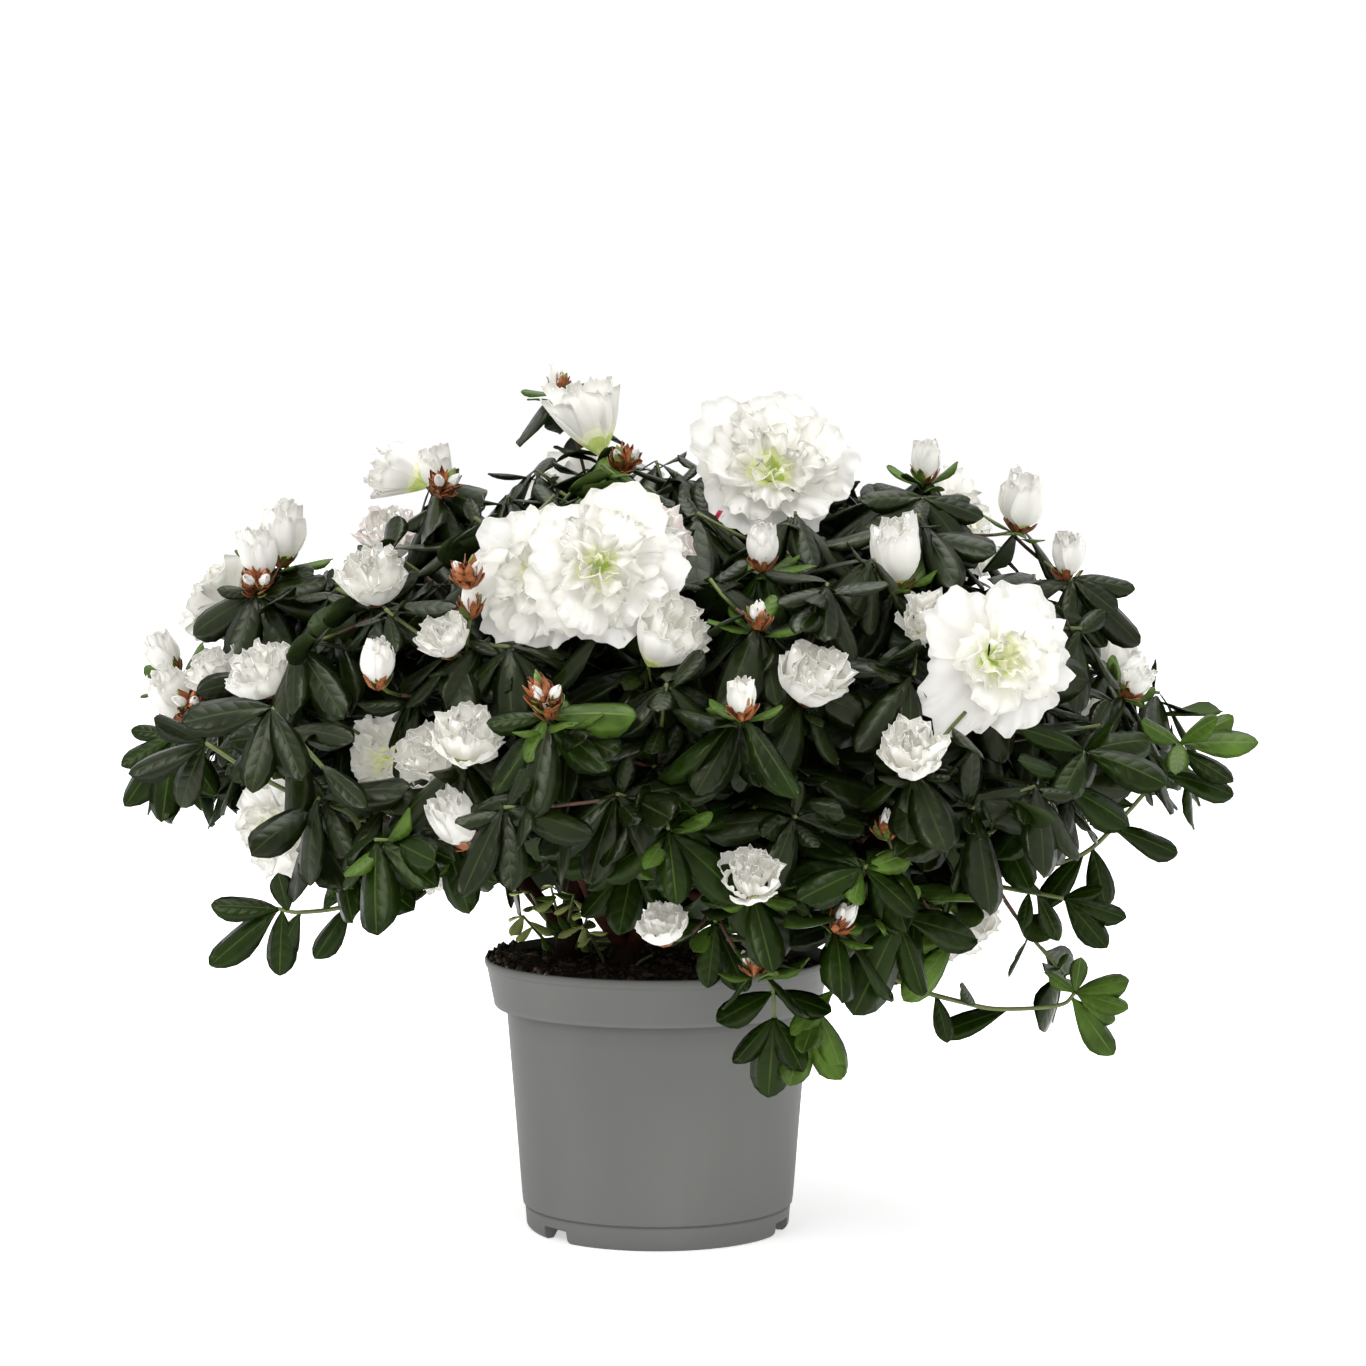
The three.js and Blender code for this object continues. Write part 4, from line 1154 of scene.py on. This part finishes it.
def ringLeaves(heaps, tip, roll, kind):
    low, high = leafLook["perTip"]
    count = low + int(roll() * (high - low + 1))
    tip["leaves"] = 0
    start = roll() * 360
    across = acrossOf(tip["way"])
    scale = leafLook["shootSize"] if tip["sort"] == "shoot" else 1.0
    budding = tip["sort"] == "flower" and tip["flower"]["kind"] in ("bud", "opening")
    if budding and kind == "deep" and tip["at"][2] < 300:
        kind = "deep" if roll() < 0.5 else "green"
    hang = 0.24 + leafLook["hang"] * max(0, tip["way"][2]) ** 2
    for i in range(count):
        inner = i >= count - (4 if budding else 2)
        spread = math.radians(42 + 24 * roll() if inner else 74 + 36 * roll())
        out = turned(across, tip["way"], math.radians(start + i * goldenTurn + 16 * roll()))
        way = unit(tip["way"] * math.cos(spread) + out * math.sin(spread) - upright * (0.1 if inner else hang))
        if not inner:
            way = settled(way, tip)
        face = unit(tip["way"] * math.sin(spread) - out * math.cos(spread) + upright * 0.32)
        root = tip["at"] - tip["way"] * (i * 0.9) + out * 0.7
        small, large = leafLook["innerSize"] if inner else (0.8, 1.08)
        size = scale * (small + (large - small) * roll())
        heap = heaps["fresh" if inner and (kind != "deep" or budding) else kind]
        tip["leaves"] += addLeaf(heap, root, way, face, size, tip, roll)


def stringLeaves(heaps, tip, roll, kind):  # single leaves on the stretch of twig below the ring
    if tip["reach"] < 18:
        return
    a, b, c = tip["along"]
    for i in range(leafLook["alongTwig"]):
        t = 0.92 - (i + 0.6 + 0.5 * roll()) * min(0.2, 9 / tip["reach"])
        if t < 0.3:
            break
        at = bendAt(a, b, c, t)
        run = unit(bendAt(a, b, c, t + 0.04) - at)
        out = turned(acrossOf(run), run, i * 2.4 + roll() * 6.28)
        spread = math.radians(52 + 34 * roll())
        way = settled(unit(run * math.cos(spread) + out * math.sin(spread)), tip)
        face = unit(run * math.sin(spread) - out * math.cos(spread) + upright * 0.5)
        addLeaf(heaps[kind], at, way, face, 0.7 + 0.3 * roll(), tip, roll)


def shootLeaves(heaps, shoot, roll):
    last = len(shoot["path"]) - 1
    leaves = [(shoot["kind"], one) for one in shoot["leaves"]]
    leaves += [("fresh", one) for one in shoot.get("freshLeaves", [])]
    for kind, (share, around, rise, length) in leaves:
        way = aim(around, rise)
        face = unit(vec(0.3 * (roll() - 0.5), -0.75, 0.65))
        root = shoot["path"][round(share * last)]
        addLeaf(heaps[kind], root, way, face, 1, {"sort": "shoot"}, roll, length)


def sproutLeaves(heaps, line, roll):
    steps = 4
    path = smoothLine([vec(*point) for point in line], steps)
    for i in range(6):
        root = path[min(len(path) - 1, steps + i)]
        way = unit(aim(i * goldenTurn + 40 * roll(), 20 - 50 * roll()))
        face = unit(vec(0.4 * (roll() - 0.5), -0.5, 0.8))
        heap = heaps["pale" if roll() < 0.75 else "fresh"]
        addLeaf(heap, root, way, face, 1, {"sort": "shoot"}, roll, 7 + 7 * roll())


leafParts = ("UpperFront", "UpperBack", "Front", "Back")


def makeLeaves():
    heaps = {part: {kind: newHeap() for kind in leafKinds} for part in leafParts}
    for number, tip in enumerate(tips):
        roll = makeDice(seeds["leaves"] + number)
        if tip["leafless"]:
            continue
        part = ("Upper" if tip["mass"] < 6 else "") + ("Front" if tip["at"][1] < 0 else "Back")
        if tip["sort"] == "shoot":
            kind = "fresh" if roll() < 0.45 else "green"
        else:
            low = tip["at"][2] < 195
            kind = "green" if roll() < (0.55 if low else 0.18) else "deep"
            if tip["sort"] == "main" and roll() < (0.2 if low else 0.08):
                kind = "fresh"
        ringLeaves(heaps[part], tip, roll, kind)
        stringLeaves(heaps[part], tip, roll, kind)
    for number, shoot in enumerate(archingShoots.values()):
        shootLeaves(heaps["Front"], shoot, makeDice(seeds["shoots"] + number))
    for number, line in enumerate(sprouts):
        sproutLeaves(heaps["Front"], line, makeDice(seeds["sprouts"] + number))
    for kind in leafKinds:
        look = leafLook[kind]
        shine = {"Specular_IOR_Level": look["shine"], "Specular_Tint": look["tint"]}
        blade = newFinish(kind + "Leaf", look["blade"], look["roughness"], **shine)
        blade = addVeins(addMottle(blade, look["blade"], 0.45, 60))
        rib = fullFinish(kind + "Rib", look["rib"], 0.5, (0.2, 90), (900, 0.1), **shine)
        under = fullFinish(kind + "Underside", look["under"], 0.6, (0.2, 90), (700, 0.3), **shine)
        for part in heaps:
            if heaps[part][kind]["count"]:
                makePiece(kind + "Leaves" + part, heaps[part][kind], [blade, rib, under], massNodes)


makeLeaves()

# flowers: rings of ruffled petals that lie on surfaces of revolution

petalLook = {
    "white": (0.765, 0.752, 0.69), "cream": (0.82, 0.83, 0.56), "throat": (0.56, 0.66, 0.18),
    "blush": (0.86, 0.7, 0.7), "crimson": (0.42, 0.012, 0.05),
    "scale": (0.3, 0.1, 0.034), "greenScale": (0.13, 0.19, 0.03),
    # glow and heartGlow make the petals and their hearts glow: painted light that lifts the shade between the
    # petals
    "thickness": 0.28, "glow": 0.12, "heartGlow": 0.16,
}
# each ring: petals, middle and end of a petal's profile as (radius, height) in half widths, half of its
# spread in degrees, ruffle in half widths, share of its length that is cream to green, points across and along
flowerRings = {
    "open": [
        (5, (0.4, 0.74), (1.05, 0.6), 50, 0.1, 0.0, (27, 8)),
        (5, (0.34, 0.72), (0.88, 0.8), 46, 0.13, 0.16, (23, 8)),
        (5, (0.24, 0.72), (0.6, 0.94), 46, 0.14, 0.36, (17, 7)),
        (5, (0.16, 0.72), (0.36, 1.0), 48, 0.14, 0.6, (11, 6)),
        (5, (0.08, 0.6), (0.16, 0.94), 56, 0.1, 0.95, (7, 4)),
    ],
    "wide": [
        (5, (0.42, 0.72), (1.06, 0.54), 46, 0.1, 0.0, (27, 9)),
        (4, (0.32, 0.74), (0.68, 0.82), 50, 0.11, 0.2, (19, 8)),
        (4, (0.26, 0.8), (0.46, 0.98), 50, 0.11, 0.4, (15, 7)),
        (4, (0.16, 0.7), (0.26, 1.0), 54, 0.1, 0.8, (11, 6)),
        (4, (0.06, 0.5), (0.13, 0.92), 60, 0.08, 0.95, (7, 5)),
    ],
    "half": [
        (5, (0.8, 0.2), (1.0, 1.12), 50, 0.11, 0.08, (17, 7)),
        (4, (0.74, 0.3), (0.74, 1.42), 60, 0.17, 0.12, (17, 7)),
        (4, (0.5, 0.4), (0.46, 1.52), 64, 0.2, 0.2, (13, 6)),
        (3, (0.25, 0.5), (0.16, 1.46), 74, 0.14, 0.4, (9, 5)),
    ],
    "funnel": [
        (5, (0.8, 0.8), (1.14, 1.95), 46, 0.12, 0.3, (17, 9)),
        (5, (0.74, 0.85), (0.76, 2.25), 50, 0.17, 0.4, (15, 8)),
        (4, (0.5, 0.9), (0.34, 2.15), 60, 0.16, 0.5, (11, 7)),
    ],
    "opening": [
        (4, (1.3, 0.7), (0.76, 2.2), 60, 0.15, 0.12, (13, 8)),
        (4, (1.1, 0.9), (0.56, 2.6), 64, 0.22, 0.12, (13, 7)),
        (3, (0.5, 1.3), (0.22, 2.62), 74, 0.18, 0.12, (9, 6)),
    ],
    "bud": [(4, (1.25, 0.8), (0.16, 2.6), 62, 0.05, 0.0, (7, 7))],
}
# how rounded the petals' ends are
petalEdge = {"open": 0.24, "wide": 0.3, "half": 0.17, "funnel": 0.2, "opening": 0.14, "bud": 0.4}


def addPetal(
    heap, flower, around, profile, spread, ruffle, tint, grid, roll, half, look=0, rounding=0.34, streaked=False
):
    columns, rows = grid
    middle, end = profile
    u, v = np.meshgrid(np.linspace(-1, 1, columns), 0.05 + 0.95 * np.linspace(0, 1, rows) ** 0.85)
    phase = [6.3 * roll() for _ in range(6)]
    fine = min(1, (columns - 5) / 12)  # narrow petals have no fine frill
    frill = 0.022 * np.sin(11 * u + phase[1]) + 0.02 * np.sin(21 * u + phase[2])
    crimp = 0.022 * np.sin(5 * u + phase[0]) + fine * frill
    t = v * (1 - rounding * np.abs(u) ** 2.6 + crimp * v**3)
    radius = 2 * t * (1 - t) * middle[0] + t**2 * end[0]
    height = 2 * t * (1 - t) * middle[1] + t**2 * end[1]
    dr = 2 * (1 - 2 * t) * middle[0] + 2 * t * end[0]
    dz = 2 * (1 - 2 * t) * middle[1] + 2 * t * end[1]
    size = np.sqrt(dr**2 + dz**2) + 1e-6
    outR, outZ = dz / size, -dr / size  # the way out of the cup's wall
    waves = (
        0.6 * np.sin(3.1 * u + phase[2]) * v**1.2
        + 0.5 * np.sin(6.5 * u + 2 * v + phase[3]) * v**2
        + fine * 0.46 * np.sin(11.5 * u + phase[4]) * v**3
        + fine * 0.36 * np.sin(20 * u + phase[0]) * v**6
        + 0.4 * np.sin(3 * v + phase[5]) * v
    )
    push = ruffle * waves + 0.8 * ruffle * (phase[0] / 6.3 - 0.5) * v
    radius = radius + push * outR
    height = height + push * outZ
    fan = math.radians(spread) * (0.4 + 0.6 * np.minimum(1, v / 0.55))
    angle = around + u * fan + 0.12 * ruffle / 0.1 * np.sin(4 * v + phase[1]) * v
    axis = flower["way"]
    side = acrossOf(axis)
    other = np.cross(axis, side)

    def place(r, z):
        flat = r[..., None] * (np.cos(angle)[..., None] * side + np.sin(angle)[..., None] * other)
        return flower["base"] + half * (flat + z[..., None] * axis)

    thick = petalLook["thickness"] / half
    inner = place(radius, height).reshape(-1, 3)
    outer = place(radius + thick * outR, height + thick * outZ).reshape(-1, 3)
    quads = gridFaces(rows, columns)
    count = rows * columns
    net = np.arange(count).reshape(rows, columns)
    rim = np.concatenate([net[0], net[1:, -1], net[-1, -2::-1], net[-2:0:-1, 0]])
    after = np.roll(rim, -1)
    walls = np.stack([rim, rim + count, after + count, after], 1)
    level = (quads[:, 0] // columns) / (rows - 1)
    shades = np.full(len(quads), look)
    if look == 0:
        rims = np.where(level > flower.get("blush", 2), 5, 0)
        shades = np.where(level < tint * 0.42, 2, np.where(level < tint, 1, rims))
    if streaked:
        shades = np.where((quads[:, 0] % columns == columns // 2) & (level > 0.72), 6, shades)
    faces = [quads[:, ::-1], quads + count, walls]
    pour(heap, np.concatenate([inner, outer]), faces, [shades, shades, np.full(len(walls), look)])


def addScales(heap, at, way, size, count, roll):  # the brown papery scales round a flower's foot
    seat = {"base": at - way * size * 0.5, "way": way}
    for i in range(count):
        around = i * 2.399 + roll()
        lean = 0.45 + 0.85 * (i + roll()) / count
        profile = ((0.8 * lean, 0.35), (1.05 * lean, (1.9 - 0.6 * lean) * (0.8 + 0.5 * roll())))
        addPetal(heap, seat, around, profile, 30, 0.05, 0, (5, 4), roll, size, 4 if roll() < 0.14 else 3, 0.62)


budShape = [(0, 0.45), (0.2, 0.9), (0.45, 1.0), (0.7, 0.72), (0.9, 0.35), (1, 0.08)]  # share of length and radius


def addBuds(heap, at, way, count, size, roll):  # closed scaly buds, brown or green
    for _ in range(count):
        lean = unit(way + 0.75 * aim(roll() * 360, -10 + 60 * roll()))
        length = size * (1.2 + 0.7 * roll())
        path = np.array([at + lean * (size * 0.25 + share * length) for share, _ in budShape])
        radii = np.array([radius for _, radius in budShape]) * size * 0.36
        addTube(heap, path, radii, 6, 4 if roll() < 0.3 else 3)
        seat = {"base": at + lean * size * 0.25, "way": lean}
        for i in range(3):
            around = i * 2.09 + roll()
            addPetal(heap, seat, around, ((0.62, 0.4), (0.45, 1.5)), 44, 0.02, 0, (3, 4), roll, size, 3)


def addWhiteBud(heap, at, lean, size, roll):
    small = {"base": at, "way": lean}
    for i in range(4):
        addPetal(heap, small, i * 1.57, ((1.15, 0.7), (0.1, 2.4)), 62, 0, 0, (5, 6), roll, size)
    addScales(heap, at, lean, size * 1.1, 6, roll)


streak = {"flower": 20, "toward": unit(vec(-0.55, 0, -0.84))}  # one crimson streak
blushing = {"flowers": (7, 11), "from": 0.8}  # two of them blush at the rims
kindHeaps = {
    "open": "openFlowers", "wide": "openFlowers", "half": "cupFlowers", "funnel": "cupFlowers",
    "opening": "budFlowers", "bud": "budFlowers",
}
# where a tuft of scales and buds shows by itself, the way it faces and its size
budTufts = [
    ((-14, -34, 331), (10, 50), 5.6),
    ((-74, -136, 288), (-10, 60), 5.8),
    ((-42, -184, 243), (0, 50), 6.4),
    ((-169, -34, 280), (0, 30), 5.4),
    ((-91, -27, 321), (20, 40), 5.4),
    ((-196, -40, 230), (-20, 20), 5.2),
]


def flowerFinishes():  # in the order of the material numbers
    # real translucency, and a glow in the petal's own colour that is painted light lifting their shade
    softAndGlowing = {
        "Subsurface_Weight": 0.55, "Subsurface_Radius": (0.006, 0.006, 0.005), "Subsurface_Scale": 1.0,
        "Emission_Color": (*petalLook["white"], 1), "Emission_Strength": petalLook["glow"],
    }
    look = petalLook
    dim = {**softAndGlowing, "Specular_IOR_Level": 0.25}
    white = fullFinish("whitePetal", look["white"], 0.6, (0.03, 60), (420, 0.35, 4, 0.3), **dim)
    # the cream and green hearts glow more: painted light that lifts the shade deep in the flower
    inner = {**softAndGlowing, "Emission_Color": (*look["cream"], 1), "Emission_Strength": look["heartGlow"]}
    cream = fullFinish("creamPetal", look["cream"], 0.6, (0.06, 80), (420, 0.3, 4, 0.3), **inner)
    inner["Emission_Color"] = (*look["throat"], 1)
    throat = fullFinish("petalThroat", look["throat"], 0.55, (0.15, 120), (420, 0.2), **inner)
    scale = fullFinish("budScale", look["scale"], 0.45, (0.5, 260), (800, 0.2))
    green = fullFinish("greenScale", look["greenScale"], 0.45, (0.4, 260), (800, 0.2))
    blush = fullFinish("blushPetal", look["blush"], 0.6, (0.08, 90), (420, 0.3), **softAndGlowing)
    crimson = fullFinish("crimsonStreak", look["crimson"], 0.6, (0.2, 90), (420, 0.3))
    return [white, cream, throat, scale, green, blush, crimson]


def makeFlowers():
    heaps = {name: newHeap() for name in ("openFlowers", "cupFlowers", "budFlowers", "budScales")}
    for number, flower in enumerate(flowers):
        roll = makeDice(seeds["flowers"] + number)
        kind = flower["kind"]
        if number in blushing["flowers"]:
            flower["blush"] = blushing["from"]
        heap = heaps[kindHeaps[kind]]
        half = flower["width"] / 2
        turn = roll() * 6.28
        for ring, (petals, middle, end, spread, ruffle, tint, grid) in enumerate(flowerRings[kind]):
            for i in range(petals):
                around = turn + ring * 0.5 + (i + 0.3 * (roll() - 0.5)) * 2 * math.pi / petals
                stretch = 0.86 + 0.26 * roll()
                wide = 0.86 + 0.28 * roll()
                profile = ((middle[0] * wide, middle[1]), (end[0] * stretch, end[1] * (0.92 + 0.16 * roll())))
                side = acrossOf(flower["way"])
                lie = math.cos(around) * side + math.sin(around) * np.cross(flower["way"], side)
                streaked = number == streak["flower"] and ring == 0 and lie @ streak["toward"] > 0.8
                form = (spread, ruffle, tint, grid)
                addPetal(heap, flower, around, profile, *form, roll, half, 0, petalEdge[kind], streaked)
        scales = heaps["budScales"]
        if kind in ("bud", "opening", "half"):
            size = 4.6 + 0.05 * flower["width"] if kind != "half" else 4.4
            addScales(scales, flower["base"], flower["way"], size, 13, roll)
            addBuds(scales, flower["base"], flower["way"], 2 + int(roll() * 3), 4.8, roll)
        beside = 2 if kind in ("bud", "opening") or roll() < 0.3 else 0
        for _ in range(beside):  # small white buds
            lean = unit(flower["way"] + 0.9 * (aim(roll() * 360, 20 + 50 * roll())))
            addWhiteBud(scales, flower["base"] + lean * 3, lean, 3.0, roll)
    for at, way, size in budTufts:
        roll = makeDice(int(seeds["tufts"] + at[0]))
        addScales(scales, vec(*at), aim(*way), size, 18, roll)
        addBuds(scales, vec(*at), aim(*way), 4, size * 1.1, roll)
        for turn in (-60, 70):
            lean = unit(aim(*way) + 0.8 * aim(way[0] + turn, 20))
            addWhiteBud(scales, vec(*at) + lean * 4, lean, 3.2, roll)
    for number, tip in enumerate(tips):
        roll = makeDice(seeds["tipBuds"] + number)
        outer = tip["sort"] == "main" or tip["sort"] == "fine" and tip["depth"] == 0
        if outer and tip["leaves"] > 2 and roll() < 0.55:
            addBuds(scales, tip["at"], tip["way"], 1 + int(roll() * 3), 2.4 + 1.2 * roll(), roll)
    finishes = flowerFinishes()
    for name, heap in heaps.items():
        makePiece(name, heap, finishes, massNodes)


makeFlowers()
